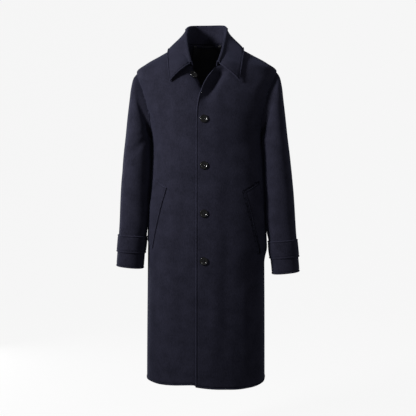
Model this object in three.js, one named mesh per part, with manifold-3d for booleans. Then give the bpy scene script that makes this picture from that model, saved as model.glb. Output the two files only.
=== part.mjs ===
// Long single-breasted wool overcoat with a turned-down collar, standing open inside.
// Millimetres, +Z up. The front faces -Y and the wearer's left side is +X.
// The origin is inside the neck, level with the neck seam, where a neck and shoulders carry the coat.
import * as THREE from 'three';
import { mergeVertices } from 'three/addons/utils/BufferGeometryUtils.js';
import Module from 'manifold-3d';

const wasm = await Module();
wasm.setup();

// Driving dimensions
const CLOTH = 3; // felted wool with its facing
const SEAM = 0.3; // gap between two pieces that are sewn together
const ROUND = 2.3; // how full the body's cross sections are, 2 being an ellipse
const SLEEVE_ROUND = 2.2;
const UNDERARM = -315; // level of the bottom of the armholes
const SHOULDER_TIP = -100; // level of the outer end of the shoulder seam
const NECK_SIDE = -3; // level of the inner end of the shoulder seam
const NECK_BACK = 7; // level of the neck seam at the centre back
const LAP = 25; // how far each front reaches past the centre line
const LAP_LIFT = 4; // how far the front on top stands off the one below
const COLLAR_WALL = 3;
const ROLL = 2; // free radius inside the turn of the collar
const LEAF_LIFT = 7; // height of the leaf's face above the coat at its outer edge
const WELT_WALL = 3;
const STRAP_WALL = 2.6;
const TRIM_GAP = 0.4; // between a panel and what lies on it
const WELT_GAP = 0.7;
const LINING_GAP = 2;
const BUTTON_RADIUS = 12.5;
const BUTTON_HEIGHT = 4.6;
const THREAD_HOLE = { radius: 1.2, spread: 2.7, count: 4 };
const LINING_WALL = 1.2;

// Columns and rows of the panels
const NECK_COLUMNS = 6;
const SHOULDER_COLUMNS = 7;
const SKIRT_ROWS = 17;
const CHEST_ROWS = 10;
const COLUMN_SPREAD = 1.25; // draws the columns of a front together towards its edge
const NECK_BOW = 30; // bows the columns outwards so that they meet the neck seam at an angle
const NECK_BOW_END = 0.55; // place across the panel where the bow has died out
const ARM_PULL = 3; // how fast the pull of the armhole's edge fades across the columns
const EDGE_PULL = 6; // the same for the front edge

// Levels of the body: half its width, and how far its front and back lie from the side seams
const BODY = [
  { z: -1100, half: 190, front: 156, back: 151 },
  { z: -900, half: 190, front: 155, back: 147 },
  { z: -655, half: 189, front: 152, back: 139 },
  { z: -540, half: 186, front: 147, back: 131 },
  { z: -440, half: 178.5, front: 143, back: 128 },
  { z: -340, half: 174, front: 141, back: 132 },
  { z: -315, half: 176.5, front: 141, back: 134 },
  { z: -250, half: 193, front: 139, back: 135 },
  { z: -200, half: 206, front: 134, back: 133 },
  { z: -150, half: 218, front: 124, back: 127 },
  { z: -125, half: 224, front: 116, back: 121 },
  { z: -100, half: 227, front: 106, back: 115 },
  { z: -75, half: 197, front: 92, back: 107 },
  { z: -50, half: 153, front: 77, back: 97 },
  { z: -25, half: 109, front: 61, back: 84 },
  { z: -3, half: 70, front: 46, back: 72 },
  { z: 8, half: 62, front: 40, back: 66 },
];

// How much further out the wearer's left side lies than the right one, the pocket standing out
const LEFT_SIDE = [
  { z: -1100, out: -2 },
  { z: -715, out: -2 },
  { z: -694, out: 1 },
  { z: -667, out: 7 },
  { z: -618, out: 6 },
  { z: -546, out: 8 },
  { z: -443, out: 11 },
  { z: -381, out: 11.5 },
  { z: -340, out: 6 },
  { z: -305, out: 0 },
];

// Front edges: x past the centre line on the panel's own side, for the front on top and below
const FRONT_EDGE = [
  { z: -1100, over: -LAP, under: -LAP },
  { z: -300, over: -LAP, under: -LAP },
  { z: -250, over: -24, under: -22 },
  { z: -210, over: -18, under: -13 },
  { z: -175, over: -6, under: 0 },
  { z: -150, over: 5, under: 13 },
  { z: -125, over: 20, under: 27 },
  { z: -100, over: 36, under: 38 },
];

// The undone top: the upper front's edge rolls out, a trough lies beside it, the lower one turns in
const OPEN_NECK = [
  { z: -320, flare: 0, trough: 0, tuck: 0 },
  { z: -265, flare: 0, trough: 0, tuck: 0 },
  { z: -225, flare: 5, trough: 2, tuck: 8 },
  { z: -190, flare: 10, trough: 11, tuck: 15 },
  { z: -155, flare: 14, trough: 21, tuck: 25 },
  { z: -125, flare: 9, trough: 17, tuck: 23 },
  { z: -100, flare: 1, trough: 3, tuck: 2 },
];

const FLARE_FADE = 13; // distance from the edge over which the flare dies out
const TUCK_FADE = 14;
const TROUGH = { from: 26, half: 17 }; // middle of the trough off the edge, and half its width
const LAP_SIDE = { from: 30, to: 75 }; // x over which the upper front comes down to the body
const LAP_TOP = { from: 130, to: 180 }; // depth below the neck over which it starts to stand off

// Neck seam on each front, from the collar's end to the shoulder seam
const NECK_FRONT = [
  { share: 0, x: 37, z: -100 },
  { share: 0.25, x: 54, z: -76 },
  { share: 0.5, x: 64, z: -52 },
  { share: 0.75, x: 69, z: -28 },
  { share: 1, x: 70, z: NECK_SIDE },
];

// Armhole from the underarm up to the shoulder: level, and reach to the front and to the back
const ARMHOLE = [
  { share: 0, z: UNDERARM, front: 0, back: 0 },
  { share: 0.1, z: -310, front: 24, back: 22 },
  { share: 0.2, z: -296, front: 45, back: 39 },
  { share: 0.3, z: -274, front: 59, back: 51 },
  { share: 0.4, z: -244, front: 64, back: 57 },
  { share: 0.5, z: -208, front: 62, back: 57 },
  { share: 0.6, z: -172, front: 55, back: 52 },
  { share: 0.7, z: -142, front: 43, back: 42 },
  { share: 0.8, z: -120, front: 29, back: 29 },
  { share: 0.9, z: -106, front: 13, back: 13 },
  { share: 1, z: SHOULDER_TIP, front: 0, back: 0 },
];

// Hem level across the front, by x, and the one level of the back
const HEM = [
  { x: -200, z: -1074 },
  { x: -174, z: -1084 },
  { x: -142, z: -1087 },
  { x: -30, z: -1079 },
  { x: -24, z: -1084 },
  { x: 75, z: -1092.5 },
  { x: 119, z: -1095 },
  { x: 148, z: -1094 },
  { x: 177, z: -1087 },
  { x: 200, z: -1076 },
];
const HEM_BACK = -1082;

const FLUTE_REACH = 170; // distance of the skirt from its axis at which a flute has its depth

// Soft flutes of the skirt: turn from the side seam in degrees (front above zero), depth at
// the hem (in or out), half width in degrees, and the level where each one starts
const FLUTES = [
  { side: 1, turn: 24, depth: 5, spread: 12, top: -560 },
  { side: 1, turn: 52, depth: -4, spread: 13, top: -640 },
  { side: 1, turn: -22, depth: -6, spread: 13, top: -520 },
  { side: 1, turn: -50, depth: 7, spread: 14, top: -430 },
  { side: -1, turn: 21, depth: 4, spread: 11, top: -600 },
  { side: -1, turn: 55, depth: -5, spread: 15, top: -560 },
  { side: -1, turn: -30, depth: 6, spread: 14, top: -470 },
  { side: -1, turn: -62, depth: -6, spread: 13, top: -540 },
];

// Rings of a sleeve below the armhole: its outer and inner point, how much further out the inner
// point of the left sleeve lies, and the reach to each face
const SLEEVE = [
  { outZ: -117, outX: 236, inZ: -324, inX: 178, left: 1.5, front: -69, back: 64 },
  { outZ: -146, outX: 243, inZ: -335, inX: 177, left: 4, front: -79, back: 71 },
  { outZ: -190, outX: 248, inZ: -350, inX: 175.5, left: 5, front: -87, back: 72 },
  { outZ: -245, outX: 254, inZ: -372, inX: 175, left: 7, front: -92, back: 69 },
  { outZ: -310, outX: 260.5, inZ: -402, inX: 176, left: 7.5, front: -95, back: 62 },
  { outZ: -371, outX: 267.5, inZ: -438, inX: 179, left: 6.5, front: -97, back: 52 },
  { outZ: -432, outX: 273.5, inZ: -480, inX: 182.5, left: 4, front: -97, back: 43 },
  { outZ: -492, outX: 278.5, inZ: -522, inX: 186, left: 2, front: -98, back: 35 },
  { outZ: -545, outX: 281.5, inZ: -565, inX: 186.5, left: 1, front: -98, back: 28 },
  { outZ: -595, outX: 284, inZ: -606, inX: 191, left: 0.5, front: -98, back: 22 },
  { outZ: -631, outX: 286.5, inZ: -637, inX: 199, left: -1.5, front: -98, back: 18 },
  { outZ: -659, outX: 289, inZ: -665, inX: 201.5, left: -2, front: -98, back: 16 },
  { outZ: -686, outX: 291.5, inZ: -692, inX: 205, left: -2, front: -98, back: 15 },
  { outZ: -710, outX: 293.5, inZ: -717, inX: 207, left: -1, front: -98, back: 14 },
  { outZ: -732, outX: 295, inZ: -741, inX: 209, left: -1, front: -98, back: 13 },
];
const FREE_RINGS = 2; // rings at the head that the body's side doesn't press in
const SIDE_GAP = 2; // between a sleeve and the side that it lies against
const STRAP_RINGS = [11, 13]; // the strap lies between these two rings, the armhole being 0
const ARM_START = -200; // below this level the two sleeves hang differently
const ARM_END = -735;

// The two sides: the wearer's left sleeve hangs lower and further out than the right one, and its
// pocket lies lower
const SIDES = {
  left: { sign: 1, swing: 2, drop: -8, pocket: -13 },
  right: { sign: -1, swing: -9, drop: 8, pocket: 0 },
};

// Creases of the sleeves: place by turn from the outside in degrees (front above zero) and
// level, slope in mm of level per degree, depth, and half width along the arm
const SLEEVE_CREASES = [
  { side: -1, turn: 92, z: -352, slope: 0.9, depth: 4.5, width: 17, reach: 52 },
  { side: -1, turn: 120, z: -300, slope: 0.5, depth: 3, width: 13, reach: 34 },
  { side: -1, turn: -80, z: -420, slope: -0.6, depth: 4, width: 18, reach: 50 },
  { side: 1, turn: 96, z: -330, slope: 0.8, depth: 3.5, width: 16, reach: 45 },
  { side: 1, turn: -95, z: -385, slope: -0.8, depth: 4.5, width: 18, reach: 52 },
];

// Turn of the collar, from the centre back to its front end, in step with the neck seam
const FOLD = [
  { share: 0, x: 0, y: 63, z: 63 },
  { share: 0.18, x: 33, y: 58, z: 62 },
  { share: 0.34, x: 52, y: 38, z: 56 },
  { share: 0.5, x: 60.5, y: -2, z: 39 },
  { share: 0.56, x: 61, y: -27, z: 20 },
  { share: 0.625, x: 59.5, y: -51, z: -5 },
  { share: 0.75, x: 55, y: -79, z: -42 },
  { share: 0.875, x: 48.5, y: -98, z: -69 },
  { share: 1, x: 40, y: -112, z: -92 },
];

// Outer edge of the leaf on the coat: x and level, and which face of the coat it lies on
const LEAF_EDGE = [
  { share: 0, x: 0, z: -27, face: -1 },
  { share: 0.18, x: 48, z: -28, face: -1 },
  { share: 0.34, x: 84, z: -30, face: -1 },
  { share: 0.42, x: 109, z: -27.5, face: -1 },
  { share: 0.5, x: 118, z: -35, face: 1 },
  { share: 0.625, x: 120, z: -58, face: 1 },
  { share: 0.75, x: 117, z: -88, face: 1 },
  { share: 0.875, x: 112, z: -119, face: 1 },
  { share: 1, x: 107, z: -151, face: 1 },
];

// Corners of a pocket welt on the right front, by distance from the centre line and level
const WELT = {
  topInner: { x: 116, z: -477 },
  topOuter: { x: 158, z: -447 },
  lowInner: { x: 164, z: -668 },
  lowOuter: { x: 184, z: -640 },
};

const BUTTONS_DONE_UP = [-268, -410, -557, -701]; // levels on the centre line
// Distance in from the lower front's edge, level, and height above the rolled cloth
const BUTTON_UNDONE = { past: 10, z: -125, gap: 2.7 };

// Colours, roughness and metalness
const WOOL = { color: 0x1a1c27, roughness: 0.92, metalness: 0 };
const HORN = { color: 0x0c0d11, roughness: 0.25, metalness: 0 };
const SATIN = { color: 0x14151c, roughness: 0.6, metalness: 0 };

const { lerp, smoothstep, degToRad } = THREE.MathUtils;

// Smooth curve through one column of a table, level at each highest and lowest row, and held
// at its end values outside the table
function along(table, key, column) {
  const rows = [...table].sort((one, two) => one[key] - two[key]);
  const last = rows.length - 1;
  const chord = (i) => (rows[i + 1][column] - rows[i][column]) / (rows[i + 1][key] - rows[i][key]);
  const slope = (i) => {
    if (i === 0) return chord(0);
    if (i === last) return chord(last - 1);
    const before = chord(i - 1);
    const after = chord(i);
    return before * after <= 0 ? 0 : (2 * before * after) / (before + after);
  };
  const slopes = rows.map((row, i) => slope(i));
  return (value) => {
    const found = rows.findIndex((row) => row[key] >= value);
    const i = Math.min(Math.max(found < 0 ? last : found, 1), last) - 1;
    const step = rows[i + 1][key] - rows[i][key];
    const t = (value - rows[i][key]) / step;
    const from = rows[i][column];
    const to = rows[i + 1][column];
    if (t <= 0) return from;
    if (t >= 1) return to;
    const bend = slopes[i] * (1 - t) - slopes[i + 1] * t;
    return lerp(from, to, t * t * (3 - 2 * t)) + bend * step * t * (1 - t);
  };
}

const halfWidth = along(BODY, 'z', 'half');
const frontDepth = along(BODY, 'z', 'front');
const backDepth = along(BODY, 'z', 'back');
const leftOut = along(LEFT_SIDE, 'z', 'out');
const edgeOver = along(FRONT_EDGE, 'z', 'over');
const edgeUnder = along(FRONT_EDGE, 'z', 'under');
const flareAt = along(OPEN_NECK, 'z', 'flare');
const troughAt = along(OPEN_NECK, 'z', 'trough');
const tuckAt = along(OPEN_NECK, 'z', 'tuck');
const hemAt = along(HEM, 'x', 'z');

const power = (value, exponent) => Math.sign(value) * Math.abs(value) ** exponent;
const hump = (distance, width) => Math.exp(-((distance / width) ** 2));

// Turn from the side seam, in radians, of the point at x on the level z of the body
function turnOf(x, z) {
  const reach = THREE.MathUtils.clamp(x / halfWidth(z), -1, 1);
  return Math.acos(power(reach, ROUND / 2));
}

// How far the flutes move the skirt out at a turn (below zero on the back)
function flutes(side, turn, z) {
  let out = 0;
  for (const flute of FLUTES) {
    if (flute.side !== side || z > flute.top) continue;
    const drop = smoothstep(flute.top - z, 0, flute.top - HEM_BACK);
    out += flute.depth * drop * hump(turn - degToRad(flute.turn), degToRad(flute.spread));
  }
  return out;
}

// Point of the body: side is 1 or -1, face is 1 on the front and -1 on the back
function bodyPoint(side, face, turn, z) {
  const depth = face > 0 ? frontDepth(z) : backDepth(z);
  const crossSide = Math.cos(turn) < 0 ? -side : side;
  const grow = 1 + flutes(crossSide, face * Math.min(turn, Math.PI - turn), z) / FLUTE_REACH;
  const wide = halfWidth(z) + (crossSide > 0 ? leftOut(z) : 0);
  const x = side * wide * power(Math.cos(turn), 2 / ROUND) * grow;
  const y = -face * depth * power(Math.sin(turn), 2 / ROUND) * grow;
  return new THREE.Vector3(x, y, z);
}

// Outward direction of the body's surface at a point
function bodyNormal(side, face, turn, z) {
  const step = degToRad(1);
  const around = bodyPoint(side, face, turn + step, z).sub(bodyPoint(side, face, turn - step, z));
  const up = bodyPoint(side, face, turn, z + 1).sub(bodyPoint(side, face, turn, z - 1));
  const normal = new THREE.Vector3().crossVectors(around, up).normalize();
  const outward = bodyPoint(side, face, turn, z).setZ(0);
  return normal.dot(outward) < 0 ? normal.negate() : normal;
}

// Extra height of a front above the body: the lap, and the roll and trough of the undone neck
function frontLift(side, x, z) {
  if (side > 0) {
    const fromEdge = Math.max(x - edgeOver(z), 0);
    const lapped = 1 - smoothstep(x, LAP_SIDE.from, LAP_SIDE.to);
    const below = smoothstep(-z, LAP_TOP.from, LAP_TOP.to);
    const flare = flareAt(z) * Math.exp(-fromEdge / FLARE_FADE);
    const trough = troughAt(z) * hump(fromEdge - TROUGH.from, TROUGH.half);
    return LAP_LIFT * lapped * below + flare - trough;
  }
  const fromEdge = Math.max(x - edgeUnder(z), 0);
  return -tuckAt(z) * Math.exp(-fromEdge / TUCK_FADE);
}

// Column place, 0 at the centre and 1 at the side, and the top edge that it runs up to
const COLUMNS = NECK_COLUMNS + SHOULDER_COLUMNS;
const columnPlace = (k, face) => (face > 0 ? (k / COLUMNS) ** COLUMN_SPREAD : k / COLUMNS);

function topEdge(k, face) {
  if (k >= NECK_COLUMNS) {
    const share = (k - NECK_COLUMNS) / SHOULDER_COLUMNS;
    const z = lerp(NECK_SIDE, SHOULDER_TIP, share);
    return { x: halfWidth(z), z };
  }
  const share = k / NECK_COLUMNS;
  if (face > 0) {
    return { x: along(NECK_FRONT, 'share', 'x')(share), z: along(NECK_FRONT, 'share', 'z')(share) };
  }
  const z = lerp(NECK_BACK, NECK_SIDE, share ** 2);
  return { x: halfWidth(z) * Math.sin((share * Math.PI) / 2), z };
}

// Place of the armhole's edge at a share of its height
function armholeEdge(face, share) {
  const z = along(ARMHOLE, 'share', 'z')(share);
  const reach = along(ARMHOLE, 'share', face > 0 ? 'front' : 'back')(share);
  const depth = face > 0 ? frontDepth(z) : backDepth(z);
  return { x: halfWidth(z) * (1 - (reach / depth) ** ROUND) ** (1 / ROUND), z };
}

// Half of the coat's front or back as rows of points from the hem up, columns from the centre out
function halfPanel(side, face) {
  const edge = face < 0 ? () => 0 : side > 0 ? edgeOver : edgeUnder;
  const rows = [];
  const place = (x, z) => {
    const turn = turnOf(x, z);
    const point = bodyPoint(side, face, turn, z);
    const lift = face > 0 ? frontLift(side, x, z) : 0;
    return point.addScaledVector(bodyNormal(side, face, turn, z), lift);
  };
  for (let row = 0; row < SKIRT_ROWS; row += 1) {
    const share = row / SKIRT_ROWS;
    rows.push([]);
    for (let k = 0; k <= COLUMNS; k += 1) {
      const x = chestX(columnPlace(k, face), edge(UNDERARM), lerp(HEM_BACK, UNDERARM, share));
      const hem = face > 0 ? hemAt(side * x) : HEM_BACK;
      rows[row].push(place(x, lerp(hem, UNDERARM, share)));
    }
  }
  for (let row = 0; row <= CHEST_ROWS; row += 1) {
    const share = row / CHEST_ROWS;
    const arm = armholeEdge(face, share);
    rows.push([]);
    for (let k = 0; k <= COLUMNS; k += 1) {
      const u = columnPlace(k, face);
      const top = topEdge(k, face);
      const x0 = chestX(u, edge(UNDERARM), UNDERARM);
      const levelOff = arm.z - lerp(UNDERARM, SHOULDER_TIP, share);
      const z = lerp(UNDERARM, top.z, share) + levelOff * u ** ARM_PULL;
      const armOff = arm.x - lerp(halfWidth(UNDERARM), halfWidth(SHOULDER_TIP), share);
      const straightEdge = lerp(edge(UNDERARM), topEdge(0, face).x, share);
      const edgeLevel = lerp(UNDERARM, topEdge(0, face).z, share);
      const edgeOff = (edge(edgeLevel) - straightEdge) * (row < CHEST_ROWS ? 1 : 0);
      const across = Math.sin(Math.PI * Math.min(1, u / NECK_BOW_END));
      const bow = NECK_BOW * across * 4 * share * (1 - share);
      const pull = armOff * u ** ARM_PULL + edgeOff * (1 - u) ** EDGE_PULL;
      const x = lerp(x0, top.x, share) + bow + pull;
      rows.at(-1).push(place(x, z));
    }
  }
  return rows;
}

// Distance from the centre line of a column on a level of the skirt
function chestX(u, edgeX, z) {
  const half = halfWidth(z);
  const turn = lerp(Math.acos(power(edgeX / half, ROUND / 2)), 0, u);
  return half * power(Math.cos(turn), 2 / ROUND);
}

// Outward directions at the points of a grid, from the points around each one
function gridNormals(rows, looped) {
  const count = rows[0].length;
  return rows.map((row, i) => row.map((point, k) => {
    const before = looped ? row[(k + count - 1) % count] : row[Math.max(k - 1, 0)];
    const after = looped ? row[(k + 1) % count] : row[Math.min(k + 1, count - 1)];
    const below = rows[Math.max(i - 1, 0)][k];
    const above = rows[Math.min(i + 1, rows.length - 1)][k];
    const across = after.clone().sub(before);
    const up = above.clone().sub(below);
    return across.cross(up).normalize();
  }));
}

// Closed wall under a grid of face points: its inner skin lies one thickness against the normals
function wallGeometry(rows, normals, thickness, looped = false) {
  const count = rows[0].length;
  const faces = rows.flat();
  const normalList = normals.flat();
  const inner = faces.map((point, i) => point.clone().addScaledVector(normalList[i], -thickness));
  const positions = [...faces, ...inner].flatMap((point) => [point.x, point.y, point.z]);
  const shift = faces.length;
  const index = [];
  const quad = (a, b, c, d) => index.push(a, b, c, a, c, d);
  const spans = looped ? count : count - 1;
  const at = (i, k) => i * count + (k % count);
  for (let i = 0; i < rows.length - 1; i += 1) {
    for (let k = 0; k < spans; k += 1) {
      quad(at(i, k), at(i, k + 1), at(i + 1, k + 1), at(i + 1, k));
      quad(shift + at(i, k), shift + at(i + 1, k), shift + at(i + 1, k + 1), shift + at(i, k + 1));
    }
  }
  const top = rows.length - 1;
  for (let k = 0; k < spans; k += 1) {
    quad(at(0, k + 1), at(0, k), shift + at(0, k), shift + at(0, k + 1));
    quad(at(top, k), at(top, k + 1), shift + at(top, k + 1), shift + at(top, k));
  }
  for (let i = 0; i < top && !looped; i += 1) {
    quad(at(i, 0), at(i + 1, 0), shift + at(i + 1, 0), shift + at(i, 0));
    quad(at(i + 1, spans), at(i, spans), shift + at(i, spans), shift + at(i + 1, spans));
  }
  const geometry = new THREE.BufferGeometry();
  geometry.setAttribute('position', new THREE.Float32BufferAttribute(positions, 3));
  geometry.setIndex(index);
  geometry.computeVertexNormals();
  return geometry;
}

function named(name, geometry, finish) {
  const mesh = new THREE.Mesh(geometry, new THREE.MeshStandardMaterial(finish));
  mesh.name = name;
  return mesh;
}

// Opens the side and shoulder seams, which lie on the plane between front and back: half a gap to
// each face, and directions that both panels share
function openSideSeams(rows, normals, face, seams) {
  const top = rows.length - 1;
  const skirtRows = rows.length - CHEST_ROWS;
  for (const { side, shoulder } of seams) {
    for (let i = 0; i < skirtRows; i += 1) normals[i][side].setY(0).normalize();
    shoulder.forEach((k, i) => {
      const inner = rows[top][shoulder[Math.max(i - 1, 0)]];
      const outer = rows[top][shoulder[Math.min(i + 1, shoulder.length - 1)]];
      const run = outer.clone().sub(inner);
      const sign = Math.sign(outer.x);
      normals[top][k].set(-run.z * sign, 0, run.x * sign).normalize();
    });
    for (let i = 0; i < skirtRows; i += 1) rows[i][side].y -= (face * SEAM) / 2;
    for (const k of shoulder) rows[top][k].y -= (face * SEAM) / 2;
  }
}

const span = (from, to) => Array.from({ length: to - from + 1 }, (item, i) => from + i);

function makeFront(side) {
  const rows = halfPanel(side, 1);
  const normals = gridNormals(rows, false);
  if (side < 0) normals.flat().forEach((normal) => normal.negate());
  openSideSeams(rows, normals, 1, [{ side: COLUMNS, shoulder: span(NECK_COLUMNS, COLUMNS) }]);
  return { rows, normals };
}

function makeBack() {
  const left = halfPanel(1, -1);
  const right = halfPanel(-1, -1);
  const rows = left.map((row, i) => [...row.slice(1).reverse(), ...right[i]]);
  const normals = gridNormals(rows, false);
  const width = rows[0].length - 1;
  openSideSeams(rows, normals, -1, [
    { side: 0, shoulder: span(0, SHOULDER_COLUMNS).reverse() },
    { side: width, shoulder: span(width - SHOULDER_COLUMNS, width) },
  ]);
  return { rows, normals };
}

// Grid order must turn the same way as its normals, so a mirrored grid has its columns reversed
function facing(panel, mirrored) {
  if (!mirrored) return panel;
  const turned = (rows) => rows.map((row) => [...row].reverse());
  return { rows: turned(panel.rows), normals: turned(panel.normals) };
}

function panelMesh(name, panel, thickness, finish, mirrored = false, looped = false) {
  const turned = facing(panel, mirrored);
  return named(name, wallGeometry(turned.rows, turned.normals, thickness, looped), finish);
}

// Ring of the armhole: down the front's edge to the underarm, then up the edge of the back, with
// the panels' normals and the way in which each panel would run on
function armholeRing(side, front, back) {
  const firstRow = SKIRT_ROWS;
  const backColumn = side > 0 ? 0 : back.rows[0].length - 1;
  const nextColumn = backColumn + side;
  const points = [];
  const normals = [];
  const onward = [];
  const take = (panel, row, column, inner) => {
    const point = panel.rows[firstRow + row][column];
    points.push(point.clone());
    normals.push(panel.normals[firstRow + row][column].clone());
    onward.push(point.clone().sub(panel.rows[firstRow + row][inner]).normalize());
  };
  for (let row = CHEST_ROWS; row > 0; row -= 1) take(front, row, COLUMNS, COLUMNS - 1);
  for (let row = 0; row < CHEST_ROWS; row += 1) take(back, row, backColumn, nextColumn);
  points[0].y = 0;
  points[CHEST_ROWS].y = 0;
  return { points, normals, onward };
}

// How far a point lies outside the body's surface, and the way out
function bodyDistance(point) {
  const inside = (x, y, z) => {
    const half = halfWidth(z) + (x > 0 ? leftOut(z) : 0);
    const depth = y < 0 ? frontDepth(z) : backDepth(z);
    return (Math.abs(x) / half) ** ROUND + (Math.abs(y) / depth) ** ROUND - 1;
  };
  const { x, y, z } = point;
  const value = inside(x, y, z);
  const slope = new THREE.Vector3(
    inside(x + 0.5, y, z) - inside(x - 0.5, y, z),
    inside(x, y + 0.5, z) - inside(x, y - 0.5, z),
    inside(x, y, z + 0.5) - inside(x, y, z - 0.5),
  );
  const steepness = slope.length();
  return { distance: value / steepness, out: slope.divideScalar(steepness) };
}

// Keeps a point of the leaf or of a sleeve at least this far off the shoulder, chest or side
function offBody(point, clearance) {
  for (let pass = 0; pass < 4; pass += 1) {
    const { distance, out } = bodyDistance(point);
    if (distance < clearance) point.addScaledVector(out, clearance - distance);
  }
  return point;
}

// How far a sleeve's creases sink its face at a turn from the outside and a level
function sleeveCrease(side, turn, z) {
  let sunk = 0;
  for (const crease of SLEEVE_CREASES) {
    if (crease.side !== side) continue;
    const offTurn = (((turn - crease.turn + 540) % 360) + 360) % 360 - 180;
    const level = z - crease.z - crease.slope * offTurn;
    sunk += crease.depth * hump(offTurn, crease.reach) * hump(level, crease.width);
  }
  return sunk;
}

function sleeveRing(side, ring) {
  const { sign, swing, drop } = side;
  const points = [];
  const count = 2 * CHEST_ROWS;
  for (let k = 0; k < count; k += 1) {
    const turn = (2 * Math.PI * k) / count;
    const c = power(Math.cos(turn), 2 / SLEEVE_ROUND);
    const s = power(Math.sin(turn), 2 / SLEEVE_ROUND);
    const level = lerp(ring.inZ, ring.outZ, (1 + c) / 2);
    const hang = smoothstep(-level, -ARM_START, -ARM_END);
    const sunk = sleeveCrease(sign, THREE.MathUtils.radToDeg(turn), level);
    const inX = ring.inX + (sign > 0 ? ring.left : 0);
    const halfX = (ring.outX - inX) / 2 - sunk * Math.abs(c);
    const halfY = (ring.back - ring.front) / 2 - sunk;
    const x = (ring.outX + inX) / 2 + halfX * c + swing * hang;
    const y = (ring.front + ring.back) / 2 - halfY * s;
    points.push(new THREE.Vector3(sign * x, y, level + drop * hang));
  }
  return points;
}

// Gap at the head of a sleeve in seam gaps: onward from the panel at the shoulder and underarm,
// and out from it at the underarm. LEAN turns the head's rim to the panel's at the shoulder
const HEAD_GAP = { shoulder: 3, underarm: 1.5, out: 2 };
const LEAN = { most: 2.1, fade: 1.4 };

function makeSleeve(side, front, back) {
  const seam = armholeRing(side.sign, front, back);
  const rings = SLEEVE.map((ring, i) => {
    const points = sleeveRing(side, ring);
    return i < FREE_RINGS ? points : points.map((point) => offBody(point, SIDE_GAP));
  });
  const first = seam.points.map((point, k) => {
    const under = (1 - Math.cos((2 * Math.PI * k) / seam.points.length)) / 2;
    const onward = lerp(HEAD_GAP.shoulder, HEAD_GAP.underarm, under) * SEAM;
    return point.clone().addScaledVector(seam.onward[k], onward)
      .addScaledVector(seam.normals[k], HEAD_GAP.out * SEAM * under);
  });
  const rows = [first, ...rings];
  const normals = gridNormals(rows, true);
  if (side.sign < 0) normals.flat().forEach((normal) => normal.negate());
  normals[0] = normals[0].map((own, k) => {
    const shoulder = (1 + Math.cos((2 * Math.PI * k) / first.length)) / 2;
    const lean = Math.min(1, LEAN.most * shoulder ** LEAN.fade);
    return own.lerp(seam.normals[k], lean).normalize();
  });
  return { rows, normals };
}

function makeStrap(sleeve) {
  const [from, to] = STRAP_RINGS;
  const lift = TRIM_GAP + STRAP_WALL;
  const normals = sleeve.normals.slice(from, to + 1);
  const rows = sleeve.rows.slice(from, to + 1).map((row, i) => row.map((point, k) => (
    point.clone().addScaledVector(normals[i][k], lift))));
  return { rows, normals };
}

// Neck seam from the right front's end round the back to the left front's end
function neckSeam(fronts, back) {
  const middle = (back.rows[0].length - 1) / 2;
  const pick = (grid, columns) => columns.map((k) => grid.at(-1)[k]);
  const neckOf = (name) => [
    ...pick(fronts.right[name], span(0, NECK_COLUMNS - 1)),
    ...pick(back[name], span(middle - NECK_COLUMNS, middle + NECK_COLUMNS)).reverse(),
    ...pick(fronts.left[name], span(0, NECK_COLUMNS - 1)).reverse(),
  ];
  return { points: neckOf('rows'), normals: neckOf('normals') };
}

// Share of the way from the centre back (0) to a front end (1) of each column of the collar
function collarShares(count) {
  const half = (count - 1) / 2;
  return span(0, count - 1).map((k) => (k - half) / half);
}

function foldPoint(share) {
  const at = (column) => along(FOLD, 'share', column)(Math.abs(share));
  return new THREE.Vector3(Math.sign(share) * at('x'), at('y'), at('z'));
}

const STAND_ROWS = 3;
const STAND_GAP = 3; // in seam gaps, above the neck seam
const STAND_LEAN = 0.3; // how far the stand's foot turns to the direction of the panels

function makeStand(seam) {
  const shares = collarShares(seam.points.length);
  const rows = [];
  for (let i = 0; i <= STAND_ROWS; i += 1) {
    const rise = i / STAND_ROWS;
    rows.push(seam.points.map((point, k) => {
      const fold = foldPoint(shares[k]);
      const start = point.clone().addScaledVector(fold.clone().sub(point).normalize(), STAND_GAP * SEAM);
      return start.lerp(fold, rise);
    }));
  }
  const normals = gridNormals(rows, false);
  normals.flat().forEach((normal) => normal.negate());
  normals[0].forEach((normal, k) => normal.lerp(seam.normals[k], STAND_LEAN).normalize());
  return { rows, normals };
}

// Outer edge of the leaf: on the coat at a distance from the centre line and a level
function leafEdge(share) {
  const size = Math.abs(share);
  const x = along(LEAF_EDGE, 'share', 'x')(size);
  const z = along(LEAF_EDGE, 'share', 'z')(size);
  const face = size < 0.5 ? -1 : 1;
  const side = share < 0 ? -1 : 1;
  const turn = turnOf(x, z);
  const point = bodyPoint(side, face, turn, z);
  return point.addScaledVector(bodyNormal(side, face, turn, z), LEAF_LIFT);
}

const ROLL_ROWS = 4;
const LEAF_ROWS = 6;
const ROLL_GAP = 4; // in seam gaps, between the stand's top and the turn
const LEAF_DROP = 0.22; // share of the leaf's length over which it falls straight from the turn
const LEAF_REST = 0.3; // share of it that lies towards its outer edge
const LEAF_BOW = { lift: 9, from: 0.7 }; // how far its front edges bow off the coat, and where that starts

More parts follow.
